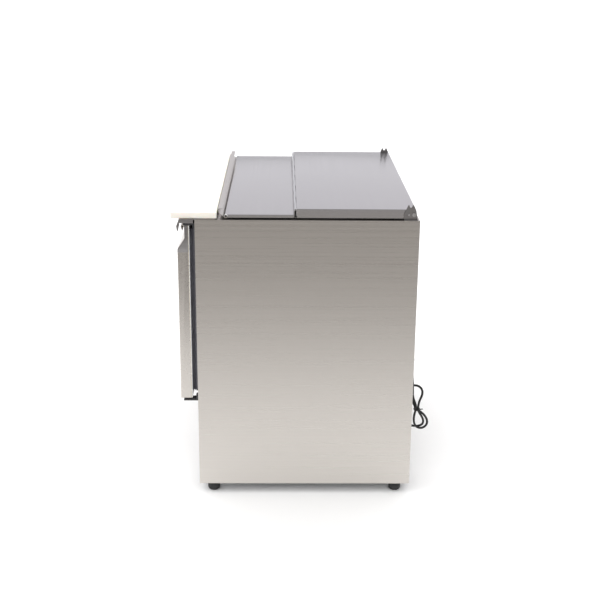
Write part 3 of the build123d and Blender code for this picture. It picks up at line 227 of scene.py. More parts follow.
# --- finishes
@dataclass(frozen=True)
class SteelFinish:
    """Bare metal sheet, brushed along one axis."""

    name: str
    tint: Point
    roughness: float = 0.3
    brush: BrushLine = BrushLine.ALONG_X
    contrast: float = 0.1  # how much the lines change the tint
    relief: float = 0.12
    smudge: float = 0.05  # how much the clouds change the roughness

    def material(self) -> bpy.types.Material:
        """Builds the material."""
        material, tree, shader, position = start_material(self.name)
        stretch = tree.add("Mapping", {"Vector": position, "Scale": self.brush.value})
        ends = {"Position": position, "Stretched": stretch.outputs["Vector"]}
        lines, clouds = tree.add("Group", ends, node_tree=LINE_GROUP).outputs
        rough = tree.span(lines, self.roughness - LINE_ROUGHNESS, self.roughness + LINE_ROUGHNESS)
        cloud = tree.span(clouds, -self.smudge, self.smudge)
        total = tree.add("Math", {0: rough, 1: cloud}, operation="ADD")
        tree.feed(shader, {
            "Base Color": tree.blend(lines, *shades(self.tint, 1 - self.contrast, 1 + self.contrast)),
            "Roughness": total.outputs[0],
            "Normal": tree.bump(lines, self.relief, LINE_DEPTH),
            "Metallic": 1.0,
        })
        return material


@dataclass(frozen=True)
class MouldedFinish:
    """Plastic, rubber, paint or foam with a moulded grain."""

    name: str
    dark: Point
    light: Point
    roughness: float = 0.5
    grain: float = 900.0  # grains per metre
    relief: float = 0.15
    depth: float = 0.0001
    coat: float = 0.0
    specular: float = 0.5
    subsurface: float = 0.0
    metallic: float = 0.0

    def material(self) -> bpy.types.Material:
        """Builds the material."""
        material, tree, shader, position = start_material(self.name)
        ends = {"Position": position, "Scale": self.grain}
        grain, blotch = tree.add("Group", ends, node_tree=GRAIN_GROUP).outputs
        tree.feed(shader, {
            "Base Color": tree.blend(blotch, self.dark, self.light),
            "Roughness": tree.span(blotch, self.roughness - 0.05, self.roughness + 0.06),
            "Normal": tree.bump(grain, self.relief, self.depth),
            "Coat Weight": self.coat,
            "Specular IOR Level": self.specular,
            "Subsurface Weight": self.subsurface,
            "Subsurface Scale": 4.0 * MM,
            "Metallic": self.metallic,
        })
        return material


@dataclass(frozen=True)
class SpangleFinish:
    """Zinc-coated sheet with crystals."""

    name: str
    tint: Point

    def material(self) -> bpy.types.Material:
        """Builds the material."""
        material, tree, shader, position = start_material(self.name)
        cells = tree.add("TexVoronoi", {"Vector": position, "Scale": 70.0})
        value = tree.add("SeparateColor", {"Color": cells.outputs["Color"]})
        tree.feed(shader, {
            "Base Color": tree.blend(value.outputs[0], *shades(self.tint, 0.8, 1.15)),
            "Roughness": tree.span(value.outputs[1], 0.32, 0.5),
            "Metallic": 1.0,
        })
        return material


@dataclass(frozen=True)
class LampFinish:
    """Glowing segment behind the window."""

    name: str
    colour: Point
    power: float

    def material(self) -> bpy.types.Material:
        """Builds the material."""
        material, tree, shader, position = start_material(self.name)
        ends = {"Position": position, "Scale": 2000.0}
        blotch = tree.add("Group", ends, node_tree=GRAIN_GROUP).outputs["Blotch"]
        colour = tree.blend(blotch, *shades(self.colour, 0.85, 1.0))
        glow = {"Base Color": colour, "Emission Color": colour, "Emission Strength": self.power}
        tree.feed(shader, glow)
        return material


def finishes() -> dict[str, bpy.types.Material]:
    """Every finish of the table, by name."""
    steel = (0.635, 0.605, 0.57)
    made = [
        SteelFinish("side_steel", steel, 0.3, BrushLine.ALONG_Y, 0.025, 0.025, 0.005),
        SteelFinish("sheet_steel", steel, 0.3, BrushLine.ALONG_X, 0.022, 0.025, 0.01),
        SteelFinish("lid_steel", (0.585, 0.572, 0.577), 0.22, BrushLine.ALONG_X, 0.03, 0.02, 0.01),
        SteelFinish("pan_steel", (0.7, 0.69, 0.68), 0.2, BrushLine.NONE, 0.03, 0.04),
        SteelFinish("bracket_steel", (0.36, 0.35, 0.35), 0.36, BrushLine.ALONG_Y, 0.12),
        SteelFinish("wire_steel", (0.66, 0.66, 0.67), 0.18, BrushLine.NONE, 0.04, 0.03),
        SteelFinish("fin_stock", (0.72, 0.73, 0.74), 0.34, BrushLine.NONE, 0.1),
        SteelFinish("copper_tube", (0.80, 0.42, 0.26), 0.26, BrushLine.NONE, 0.16, 0.05, 0.1),
        SpangleFinish("zinc_sheet", (0.55, 0.56, 0.57)),
        MouldedFinish(
            "board_white", (0.85, 0.81, 0.73), (0.885, 0.85, 0.78), 0.5, 700, 0.2, subsurface=0.15,
        ),
        MouldedFinish("liner_white", (0.80, 0.81, 0.82), (0.86, 0.865, 0.87), 0.34, 600, 0.08),
        MouldedFinish("foam_cream", (0.72, 0.62, 0.38), (0.84, 0.75, 0.5), 0.9, 420, 0.6, 0.0006),
        MouldedFinish("gasket_grey", (0.1, 0.099, 0.115), (0.13, 0.129, 0.15), 0.42, 900, 0.1),
        MouldedFinish("rubber_black", (0.016, 0.016, 0.017), (0.026, 0.026, 0.027), 0.6, 800, 0.25),
        MouldedFinish("cord_black", (0.012, 0.012, 0.013), (0.02, 0.02, 0.021), 0.42, 1500, 0.12),
        MouldedFinish("plastic_black", (0.02, 0.02, 0.022), (0.03, 0.03, 0.033), 0.38, 1800, 0.2),
        MouldedFinish(
            "hinge_paint", (0.016, 0.016, 0.018), (0.026, 0.026, 0.028), 0.4, 1200, 0.12, coat=0.2,
        ),
        MouldedFinish(
            "machine_paint", (0.012, 0.012, 0.013), (0.02, 0.02, 0.022), 0.3, 300, 0.2, 0.0002, 0.5,
        ),
        MouldedFinish("window_tint", (0.03, 0.006, 0.007), (0.045, 0.008, 0.01), 0.1, 600, 0.02, coat=1.0),
        MouldedFinish("brass_pin", (0.66, 0.5, 0.24), (0.74, 0.57, 0.28), 0.3, 900, 0.1, metallic=1.0),
        LampFinish("lamp_red", (1.0, 0.08, 0.03), 3.0),
    ]
    return {finish.name: finish.material() for finish in made}


# --- mesh building
def box_ends(node: str) -> tuple[Vector, Vector]:
    """Lowest and highest corners of a CAD node."""
    low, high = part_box(node)
    return Vector(low), Vector(high)


def show(name: str, data: bpy.types.ID) -> bpy.types.Object:
    """Puts an object with that data into the scene."""
    made = bpy.data.objects.new(name, data)
    bpy.context.scene.collection.objects.link(made)
    return made


def disc(radius: float, tall: float) -> list[tuple[float, float]]:
    """Turned outline of a plain cylinder."""
    return [(0, 0), (radius, 0), (radius, tall), (0, tall)]


def in_mm(*points: tuple[float, float]) -> list[tuple[float, float]]:
    """Outline points that are given in millimetres."""
    return [(across * MM, along * MM) for across, along in points]


def quarter(
    across: float, along: float, wide: float, tall: float, start: float,
) -> list[tuple[float, float]]:
    """Points of a quarter of an ellipse round (across, along), from the start angle in degrees."""
    turns = [math.radians(start + 15 * step) for step in range(7)]
    return [(across + wide * math.cos(turn), along + tall * math.sin(turn)) for turn in turns]


def round_edges(
    item: bpy.types.Object, name: str, width: float, segments: int, degrees: float,
) -> bpy.types.Modifier:
    """Rounds an object's edges that are sharper than the angle."""
    edge = item.modifiers.new(name, "BEVEL")
    edge.width = width
    edge.segments = segments
    edge.limit_method = "ANGLE"
    edge.angle_limit = math.radians(degrees)
    return edge


def sharpen(bm: BMesh, degrees: float = SHARP) -> None:
    """Smooths the faces and keeps edges sharper than the angle."""
    limit = math.radians(degrees)
    for face in bm.faces:
        face.smooth = True
    for edge in bm.edges:
        edge.smooth = len(edge.link_faces) == 2 and edge.calc_face_angle(0.0) < limit


def add_block(
    bm: BMesh, low: Vector, high: Vector, round_by: float = 0.0, segments: int = 2,
) -> None:
    """Adds a box between two corners with its edges rounded.

    Args:
        bm: Mesh that the box is added to.
        low: Lowest corner.
        high: Highest corner.
        round_by: Radius of the edges.
        segments: Faces across each rounded edge.
    """
    low, high = Vector(low), Vector(high)
    size = high - low
    place = Matrix.Translation((low + high) / 2) @ Matrix.Diagonal((*size, 1.0))
    made = bmesh.ops.create_cube(bm, size=1.0, matrix=place)
    if round_by > 0.0:
        edges = list({edge for vert in made["verts"] for edge in vert.link_edges})
        bevel(bm, edges, min(round_by, 0.49 * min(size)), segments)


def bevel(bm: BMesh, edges: list, width: float, segments: int = 2) -> None:
    """Rounds edges."""
    bmesh.ops.bevel(
        bm, geom=edges, offset=width, offset_type="OFFSET", segments=segments, profile=0.5,
        affect="EDGES", clamp_overlap=True, material=-1,
    )


def add_turned(
    bm: BMesh, outline: list, centre: Vector, axis: Point = (0, 0, 1), steps: int = 32,
) -> None:
    """Adds a shape turned about an axis.

    Args:
        bm: Mesh that the shape is added to.
        outline: (radius, height) points from one end of the axis to the other.
        centre: Where height 0 lies.
        axis: Direction of the height.
        steps: Facets round the shape.
    """
    turn = Vector((0, 0, 1)).rotation_difference(Vector(axis)).to_matrix().to_4x4()
    place = Matrix.Translation(Vector(centre)) @ turn
    verts = [bm.verts.new((radius, 0.0, height)) for radius, height in outline]
    edges = [bm.edges.new(ends) for ends in zip(verts, verts[1:])]
    before = set(bm.verts) - set(verts)
    bmesh.ops.spin(
        bm, geom=verts + edges, cent=(0, 0, 0), axis=(0, 0, 1), dvec=(0, 0, 0),
        angle=math.tau, steps=steps, use_merge=True, use_duplicate=False,
    )
    made = [vert for vert in bm.verts if vert not in before]
    bmesh.ops.remove_doubles(bm, verts=made, dist=1e-6)
    made = [vert for vert in bm.verts if vert not in before]
    bmesh.ops.transform(bm, matrix=place, verts=made)


def add_prism(
    bm: BMesh, outline: list, x0: float, x1: float, round_by: float = 0.0, segments: int = 2,
) -> None:
    """Adds an outline of (Y, Z) points run from x0 to x1, with its edges rounded."""
    face = bm.faces.new([bm.verts.new((x0, y, z)) for y, z in outline])
    made = bmesh.ops.extrude_face_region(bm, geom=[face])["geom"]
    top = [item for item in made if isinstance(item, bmesh.types.BMVert)]
    bmesh.ops.translate(bm, verts=top, vec=(x1 - x0, 0, 0))
    edges = list({edge for vert in list(face.verts) + top for edge in vert.link_edges})
    faces = list({side for edge in edges for side in edge.link_faces})
    bmesh.ops.recalc_face_normals(bm, faces=faces)
    if round_by > 0.0:
        bevel(bm, edges, round_by, segments)


def smooth_tube(
    name: str, points: list, radius: float, cyclic: bool = False, sides: int = 3, steps: int = 6,
) -> bpy.types.Object:
    """Round tube on one smooth curve.

    Args:
        name: Name of the object and its curve.
        points: Control points of the curve.
        radius: The tube's radius.
        cyclic: Whether the curve closes on itself; else its ends are closed.
        sides: Bevel resolution of the section.
        steps: Curve resolution between points.

    Returns:
        The curve object, in the scene.
    """
    curve = bpy.data.curves.new(name, "CURVE")
    curve.dimensions = "3D"
    curve.bevel_depth = radius
    curve.bevel_resolution = sides
    curve.resolution_u = steps
    curve.use_fill_caps = not cyclic
    spline = curve.splines.new("NURBS")
    spline.points.add(len(points) - 1)
    for point, place in zip(spline.points, points):
        point.co = (*place, 1.0)
    spline.order_u = 3
    spline.use_endpoint_u = not cyclic
    spline.use_cyclic_u = cyclic
    return show(name, curve)


def add_tube(bm: BMesh, points: list, radius: float, **options: int) -> None:
    """Adds a round tube on a smooth curve; options are those of smooth_tube."""
    holder = smooth_tube("tube", points, radius, **options)
    curve = holder.data
    solid = holder.evaluated_get(bpy.context.evaluated_depsgraph_get())
    mesh = bpy.data.meshes.new_from_object(solid)
    bpy.data.objects.remove(holder)
    bpy.data.curves.remove(curve)
    bm.from_mesh(mesh)
    bpy.data.meshes.remove(mesh)


@dataclass
class Workshop:
    """Turns finished meshes into pieces that ride on the table's bodies."""

    materials: dict[str, bpy.types.Material]

    def piece(
        self, bm: BMesh, name: str, body: str, finish: str, slot: str,
        stands_for: tuple[str, ...] = (), angle: float = SHARP, recalc: bool = True,
    ) -> bpy.types.Object:
        """Makes a piece from a mesh.

        Args:
            bm: The mesh, which is freed.
            name: The piece's name.
            body: CAD body that it rides on.
            finish: Name of its finish.
            slot: Material slot of the record, which is not used.
            stands_for: CAD nodes that it replaces.
            angle: Edges sharper than this many degrees stay sharp.
            recalc: Whether the faces are turned outwards here.

        Returns:
            The piece.
        """
        bmesh.ops.remove_doubles(bm, verts=bm.verts, dist=1e-7)
        if recalc:
            bmesh.ops.recalc_face_normals(bm, faces=bm.faces)
        sharpen(bm, angle)
        mesh = bpy.data.meshes.new(name)
        bm.to_mesh(mesh)
        bm.free()
        mesh.materials.append(self.materials[finish])
        made = show(name, mesh)
        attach(made, body)
        if stands_for:
            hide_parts(*stands_for)
        LOG.info("%s: %d faces on %s", name, len(mesh.polygons), body)
        return made

    def rounded(self, node: str, finish: str, width: float, segments: int = 2) -> bpy.types.Object:
        """Copy of a CAD node with its sharp edges rounded, which stands for it."""
        source = frame["nodes"][node]
        bm = bmesh.new()
        bm.from_mesh(source.data)
        bmesh.ops.remove_doubles(bm, verts=bm.verts, dist=2e-6)
        flat = math.radians(0.4)
        bmesh.ops.dissolve_limit(bm, angle_limit=flat, verts=bm.verts, edges=bm.edges)
        made = self.piece(
            bm, node + "_finished", source["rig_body"], finish, self.record_slot(node), (node,),
            recalc=False,
        )
        round_edges(made, "Rounded edges", width, segments, SHARP).harden_normals = True
        return made

    def round_off(self, *rows: tuple) -> None:
        """Rounds CAD nodes, each given as node, finish, width in mm and perhaps segments."""
        for node, finish, width, *segments in rows:
            self.rounded(node, finish, width * MM, *segments)

    def record_slot(self, node: str) -> str:
        """Material slot that the record gives a node."""
        for part in frame["record"].get("subparts", []):
            if part["node"] == node:
                return part["material_slot"]
        return ""

    def screws(
        self, name: str, places: list, axis: Point, radius: float, height: float, *stands_for: str,
    ) -> None:
        """Makes one piece of domed screw heads with dished recesses, standing out along the axis."""
        outline = [
            (0.0, height * 0.45), (radius * 0.28, height * 0.5), (radius * 0.36, height * 1.0),
            (radius * 0.7, height * 0.86), (radius * 0.93, height * 0.5), (radius, 0.0), (0.0, 0.0),
        ]
        bm = bmesh.new()
        for place in places:
            add_turned(bm, outline, place, axis, 20)
        self.piece(bm, name, "cabinet", "wire_steel", "bright_steel", stands_for)

    def dress(self, finish: str, *nodes: str) -> None:
        """Gives CAD nodes a finish."""
        for node in nodes:
            shown = frame["nodes"][node]
            if not shown.material_slots:
                shown.data.materials.append(self.materials[finish])
            for slot in shown.material_slots:
                slot.material = self.materials[finish]


# --- mains lead
@dataclass
class MainsLead:
    """The lead from its gland to the tied hank behind the table, and its plug."""

    shop: Workshop
    radius: float = 3.5 * MM
    tie: Point = (0.296, 0.384, 0.211)
    length: float = 1.5
    coil_middle: Point = (0.2516, 0.358, 0.2812)  # of the innermost turn
    coil_straight: float = 35.0 * MM  # half of a turn's straight runs
    coil_radius: float = 23.5 * MM
    coil_lean: float = 36.0  # degrees from upright
    turn_points: int = 20
    start_share: float = 0.22  # share of a turn, from its lower end up its left side
    laps: float = 2.58
    swing: float = 0.40  # how far the loop below the tie leans to the rear
    hang: float = 67.0 * MM  # its length
    hang_points: int = 11
    ribs: int = 6  # of the strain relief

    def lead(self) -> list[Vector]:
        """Control points from the strain relief to the tie."""
        arch = [
            (290.0, 370.0, 287.5), (290.3, 380.3, 288.0), (291.0, 389.9, 284.2), (292.0, 397.0, 276.6),
            (293.0, 400.2, 266.8), (294.0, 398.7, 254.9), (295.0, 393.0, 242.1), (295.6, 389.3, 229.4),
        ]
        return [Vector(place) * MM for place in arch]

    def around(self, share: float) -> tuple[float, float]:
        """Place on one turn of the coil.

        Args:
            share: How far round the turn, from its lower end up its left side.

        Returns:
            The distance across and along the turn from its middle.
        """
        run, bend, radius = self.coil_straight, math.pi * self.coil_radius / 2, self.coil_radius
        gone = share % 1.0 * (4 * run + 4 * bend)
        if gone < bend:
            turn = gone / radius
            return -radius * math.sin(turn), -run - radius * math.cos(turn)
        if gone < bend + 2 * run:
            return -radius, gone - bend - run
        if gone < 3 * bend + 2 * run:
            turn = (gone - bend - 2 * run) / radius
            return -radius * math.cos(turn), run + radius * math.sin(turn)
        if gone < 3 * bend + 4 * run:
            return radius, run - (gone - 3 * bend - 2 * run)
        turn = (gone - 3 * bend - 4 * run) / radius
        return radius * math.cos(turn), -run - radius * math.sin(turn)

    def coil(self) -> list[Vector]:
        """Control points of the turns that lie flat behind the table."""
        lean = math.radians(self.coil_lean)
        up = Vector((-math.sin(lean), 0, math.cos(lean)))
        flat = Vector((math.cos(lean), 0, math.sin(lean)))
        count = round(self.laps * self.turn_points)
        points = []
        for step in range(count + 1):
            laps = self.laps * step / count
            across, along = self.around(self.start_share + laps)
            wander = 1.2 * MM * math.sin(2.3 * laps + 0.7)
            middle = Vector(self.coil_middle) + Vector((-3.0 * MM * laps, 5.4 * MM * laps, wander))
            points.append(middle + up * along + flat * across)
        return points

    def loop(self, start: Vector, end: Vector) -> list[Vector]:
        """Control points of the drop-shaped loop that hangs below the tie, from start to end."""
        down = Vector((0.03, self.swing, -1.0)).normalized()
        side = Vector((0.0, -1.0, -self.swing)).normalized()
        points = []
        first, last = math.radians(55), math.radians(305)
        for step in range(self.hang_points):
            turn = first + (last - first) * step / (self.hang_points - 1)
            along = self.hang * (1 - math.cos(turn)) / 2
            across = 27.0 * MM * math.sin(turn) * math.sin(turn / 2)
            points.append(start.lerp(end, turn / math.tau) + down * along + side * across)
        return points

    def route(self) -> list[Vector]:
        """Control points of the whole lead."""
        tie = Vector(self.tie)
        steps = ((1, 3, 0), (5.5, -3.5, 0), (-4, -3, 0))
        first, second, third = (tie + Vector(step) * MM for step in steps)
        under = [
            (296.5, 390.5, 201), (297.5, 399.5, 188), (297.5, 406, 174), (296.5, 404.5, 161),
            (294.5, 395, 153.5), (292, 382, 151.5), (289, 368, 151.5), (286, 359, 159),
            (283, 357, 178), (279, 357.5, 200),
        ]
        down = [(291, 370.5, 250), (295.5, 376, 237), (299.5, 380.5, 224)]
        over = [
            (292, 377, 221), (289, 370, 235), (277, 364, 253), (259, 361, 279), (242, 362, 303),
            (231, 368, 321), (220, 375.5, 336), (207, 378.5, 344), (193, 378.5, 340),
            (187, 378.5, 327), (190, 377, 312), (198, 373, 299), (204, 369, 290), (205, 367, 281),
        ]
        under, down, over = ([Vector(place) * MM for place in run] for run in (under, down, over))
        points = self.lead() + [first] + under + self.coil()
        return points + down + [second] + self.loop(second, third) + [third] + over

    def build(self) -> None:
        """Builds the gland, the lead, its tie and its plug."""
        plug = self.plug()
        tie = self.tie_wire()
        gland = self.gland()
        points = self.route()
        cord = smooth_tube("mains_cord", points, self.radius, sides=4, steps=8)
        cord.data.materials.append(self.shop.materials["cord_black"])
        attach(cord, "cabinet")
        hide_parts("cord_lead", "cord_hank")
        LOG.info("mains_cord: %d points", len(points))

    def gland(self) -> bpy.types.Object:
        """Gland nut and ribbed, tapered strain relief."""
        low, high = box_ends("cord_gland")
        centre = Vector(((low.x + high.x) / 2, 0.0, (low.z + high.z) / 2))
        wall = box_ends("rear_panel")[1].y
        bm = bmesh.new()
        rib_pitch = (high.y - wall - 4 * MM) / self.ribs
        outline = in_mm((0, 0), (10, 0), (10, 2.6), (8.6, 4))
        for rib in range(self.ribs):
            start = 4 * MM + rib_pitch * rib
            wide = (6.5 - 1.9 * rib / self.ribs) * MM
            groove = wide - 0.9 * MM
            outline += [(wide, start + 0.3 * MM), (wide, start + rib_pitch * 0.62)]
            outline += [(groove, start + rib_pitch * 0.7), (groove, start + rib_pitch * 0.95)]
        outline += [(self.radius + 0.2 * MM, high.y - wall), (0.0, high.y - wall)]
        outwards = (0, 1, 0)
        add_turned(bm, outline, centre + Vector((0, wall, 0)), outwards, 28)
        add_turned(bm, disc(7 * MM, 12 * MM), centre + Vector((0, wall - 12 * MM, 0)), outwards, 24)
        add_turned(bm, disc(10.3 * MM, 5 * MM), centre + Vector((0, low.y + 5 * MM, 0)), outwards, 6)
        return self.shop.piece(
            bm, "strain_relief", "cabinet", "plastic_black", "black_rubber", ("cord_gland",),
        )

    def tie_wire(self) -> bpy.types.Object:
        """Coated wire wound twice round the hank's waist, with its twisted tail."""
        bm = bmesh.new()
        middle, steps = Vector(self.tie), 16
        for level, grow in ((-1.4 * MM, 0.0), (1.3 * MM, 0.3 * MM)):
            wide, deep = 10.6 * MM + grow, 9.4 * MM + grow
            turns = [math.tau * step / steps for step in range(steps)]
            ring = [middle + Vector((math.cos(t) * wide, math.sin(t) * deep, level)) for t in turns]
            add_tube(bm, ring, 1.1 * MM, cyclic=True, sides=2, steps=3)
        start = Vector(self.tie) + Vector((3 * MM, 9 * MM, 0))
        for phase in (0.0, math.pi):
            tail = []
            for step in range(9):
                turn = phase + step * 1.3
                out = Vector((math.cos(turn), 0, math.sin(turn))) * 1.1 * MM
                tail.append(start + out + Vector((0, 1.0, 0.12)) * 1.15 * MM * step)
            add_tube(bm, tail, 1.0 * MM, sides=2, steps=3)
        return self.shop.piece(
            bm, "tie_wire", "cabinet", "rubber_black", "black_rubber", ("cord_tie",), recalc=False,
        )

    def plug(self) -> bpy.types.Object:
        """Moulded plug with finger grips, a ribbed sleeve and round pins."""
        low, high = box_ends("plug")
        centre = Vector(((low.x + high.x) / 2, (low.y + high.y) / 2, 0.0))
        wide = (high.x - low.x) / 2
        face = low.z + 18 * MM
        bm = bmesh.new()
        body = [
            (0.0, 0.0), (wide * 0.95, 0.0), (wide, 1.5 * MM), (wide, 10 * MM), (wide * 0.86, 13 * MM),
            (wide * 0.82, 20 * MM), (wide * 0.9, 26 * MM), (wide * 0.88, 31 * MM), (wide * 0.7, 35 * MM),
        ]
        for rib in range(3):
            start = (36.0 + rib * 3.0) * MM
            ring = (7.6 - rib * 1.1) * MM
            body += [(ring, start), (ring, start + 1.6 * MM)]
            body += [(ring - 1.2 * MM, start + 1.9 * MM), (ring - 1.2 * MM, start + 2.8 * MM)]
        body += [(self.radius + 0.3 * MM, high.z - face), (0.0, high.z - face)]
        add_turned(bm, body, centre + Vector((0, 0, face)), (0, 0, 1), 36)
        plug = self.shop.piece(bm, "plug_body", "cabinet", "rubber_black", "black_rubber", ("plug",))
        bm = bmesh.new()
        for side in (-1, 1):
            pin = in_mm((0, 0), (1.6, 0), (2.4, 1), (2.4, 19), (0, 19))
            add_turned(bm, pin, centre + Vector((side * 9.5 * MM, 0, low.z)), (0, 0, 1), 16)
        pins = self.shop.piece(bm, "plug_pins", "cabinet", "brass_pin", "black_rubber")
        pins.parent = plug
        pins.matrix_parent_inverse = Matrix.Identity(4)
        return plug


# --- cabinet
@dataclass
class Cabinet:
    """Outer sheets, face frame, lining and base."""

    shop: Workshop
    screw_inset: float = 12.0 * MM  # from the rear sheet's sides
    screw_gap: float = 20.0 * MM  # from its top and bottom
    screw_levels: tuple[float, float] = (0.33, 0.6)

    def build(self) -> None:
        """Builds the cabinet's pieces."""
        self.shop.round_off(
            ("side_panels", "side_steel", 0.5), ("front_frame", "sheet_steel", 0.8),
            ("inner_liner", "sheet_steel", 0.4), ("base_pan", "zinc_sheet", 0.5),
            ("rear_panel", "sheet_steel", 0.25, 1),
        )
        self.shop.dress("foam_cream", "cabinet_insulation")
        self.rear_screws()

    def rear_screws(self) -> None:
        """Screws round the rear sheet."""
        low, high = box_ends("rear_panel")
        across = (low.x + self.screw_inset, (low.x + high.x) / 2, high.x - self.screw_inset)
        levels = (low.z + self.screw_gap, *self.screw_levels, high.z - self.screw_gap)
        places = [Vector((x, high.y, z)) for x in across for z in levels]
        self.shop.screws("rear_screws", places, (0, 1, 0), 3.6 * MM, 1.8 * MM)


@dataclass
class Worktop:
    """Deck, front rail with its end brackets, and the cutting board."""

    shop: Workshop

    def build(self) -> None:
        """Builds the worktop's pieces."""
        self.shop.round_off(
            ("worktop_deck", "sheet_steel", 0.4), ("front_rail", "sheet_steel", 0.6),
            ("board_brackets", "bracket_steel", 0.4),
        )
        self.board()

    def board(self) -> None:
        """White board with rounded edges."""
        low, high = box_ends("cutting_board")
        bm = bmesh.new()
        add_block(bm, low, high, 2.5 * MM, 3)
        self.shop.piece(
            bm, "board_slab", "cutting_board", "board_white", "board_plastic", ("cutting_board",),
        )


# --- lids
@dataclass
class Lids:
    """Hinged rear lid, folding front lid, handle, piano hinge and pivot brackets."""

    shop: Workshop
    sheet: float = 1.2 * MM
    bend: float = 2.2 * MM
    rivet_y: float = 4.2 * MM  # from the front lid's front
    rivet_z: float = 4.6 * MM  # from its lower edge

    def tray(self, bm: BMesh, low: Vector, high: Vector) -> None:
        """Adds an open-bottomed tray of folded sheet with rounded bends."""
        size = high - low
        place = Matrix.Translation((low + high) / 2) @ Matrix.Diagonal((*size, 1.0))
        made = bmesh.ops.create_cube(bm, size=1.0, matrix=place)
        verts = made["verts"]
        edges = {edge for vert in verts for edge in vert.link_edges}
        folded = [e for e in edges if any(v.co.z > high.z - 1e-6 for v in e.verts)]
        bevel(bm, folded, self.bend, 4)
        bottom = min(bm.faces, key=lambda face: face.calc_center_median().z)
        bmesh.ops.inset_region(bm, faces=[bottom], thickness=self.sheet, use_even_offset=True)
        bmesh.ops.translate(bm, verts=bottom.verts[:], vec=(0, 0, size.z - self.sheet))

    def build(self) -> None:
        """Builds the lids' pieces."""
        self.rear()
        self.front()
        self.shop.round_off(
            ("lid_handle", "sheet_steel", 0.35), ("lid_brackets", "bracket_steel", 0.35),
            ("hinge_leaf_rear", "wire_steel", 0.15, 1), ("hinge_leaf_front", "wire_steel", 0.15, 1),
            ("pivot_screws", "wire_steel", 0.3),
        )
        self.shop.dress("sheet_steel", "rear_lid_lining")
        self.shop.dress("foam_cream", "rear_lid_core")
        self.shop.dress("rubber_black", "lid_bumpers")

    def rear(self) -> None:
        """Rear lid's folded shell."""
        low, high = box_ends("rear_lid_shell")
        bm = bmesh.new()
        self.tray(bm, low, high)
        self.folded(bm, "rear_lid")

    def folded(self, bm: BMesh, body: str) -> None:
        """Makes one lid's sheet from its mesh."""
        self.shop.piece(bm, f"{body}_sheet", body, "lid_steel", "brushed_steel", (f"{body}_shell",))

    def front(self) -> None:
        """Front lid's shallow tray with its upturned rear flange."""
        low, high = box_ends("front_lid_shell")
        top = Vector((high.x, high.y, high.z - 10.5 * MM))
        bm = bmesh.new()
        self.tray(bm, low, top)
        flange_low = Vector((low.x, high.y - self.sheet, low.z + 3 * MM))
        add_block(bm, flange_low, high, 0.5 * MM)
        self.folded(bm, "front_lid")
        self.rivets(low, high)

    def rivets(self, low: Vector, high: Vector) -> None:
        """Pale bushes and pins that hold the handle channel at both ends of the front lid; the pins' black
        is painted shade of the holes.
        """
        ring = in_mm((2, 0), (5.2, 0), (5.2, 0.5), (4.4, 1.2), (3, 1.4), (2, 0.9), (2, 0))
        pin = in_mm((0, 0.2), (2.9, 0.2), (2.9, 1.5), (0, 1.6))
        for name, outline, steps, finish, slot in (
            ("handle_bushes", ring, 28, "liner_white", "liner_plastic"),
            # the pins take the black rubber finish though the record makes them steel: painted shade where
            # the bushes' holes look dark
            ("handle_pins", pin, 20, "rubber_black", "bright_steel"),
        ):
            bm = bmesh.new()
            for x, way in ((low.x, -1), (high.x, 1)):
                centre = Vector((x, low.y + self.rivet_y, low.z + self.rivet_z))
                add_turned(bm, outline, centre, (way, 0, 0), steps)
            self.shop.piece(bm, name, "front_lid", finish, slot)

# --- doors
class Side(Enum):
    """Which door, with the sign of its X."""

    RIGHT = 1
    LEFT = -1


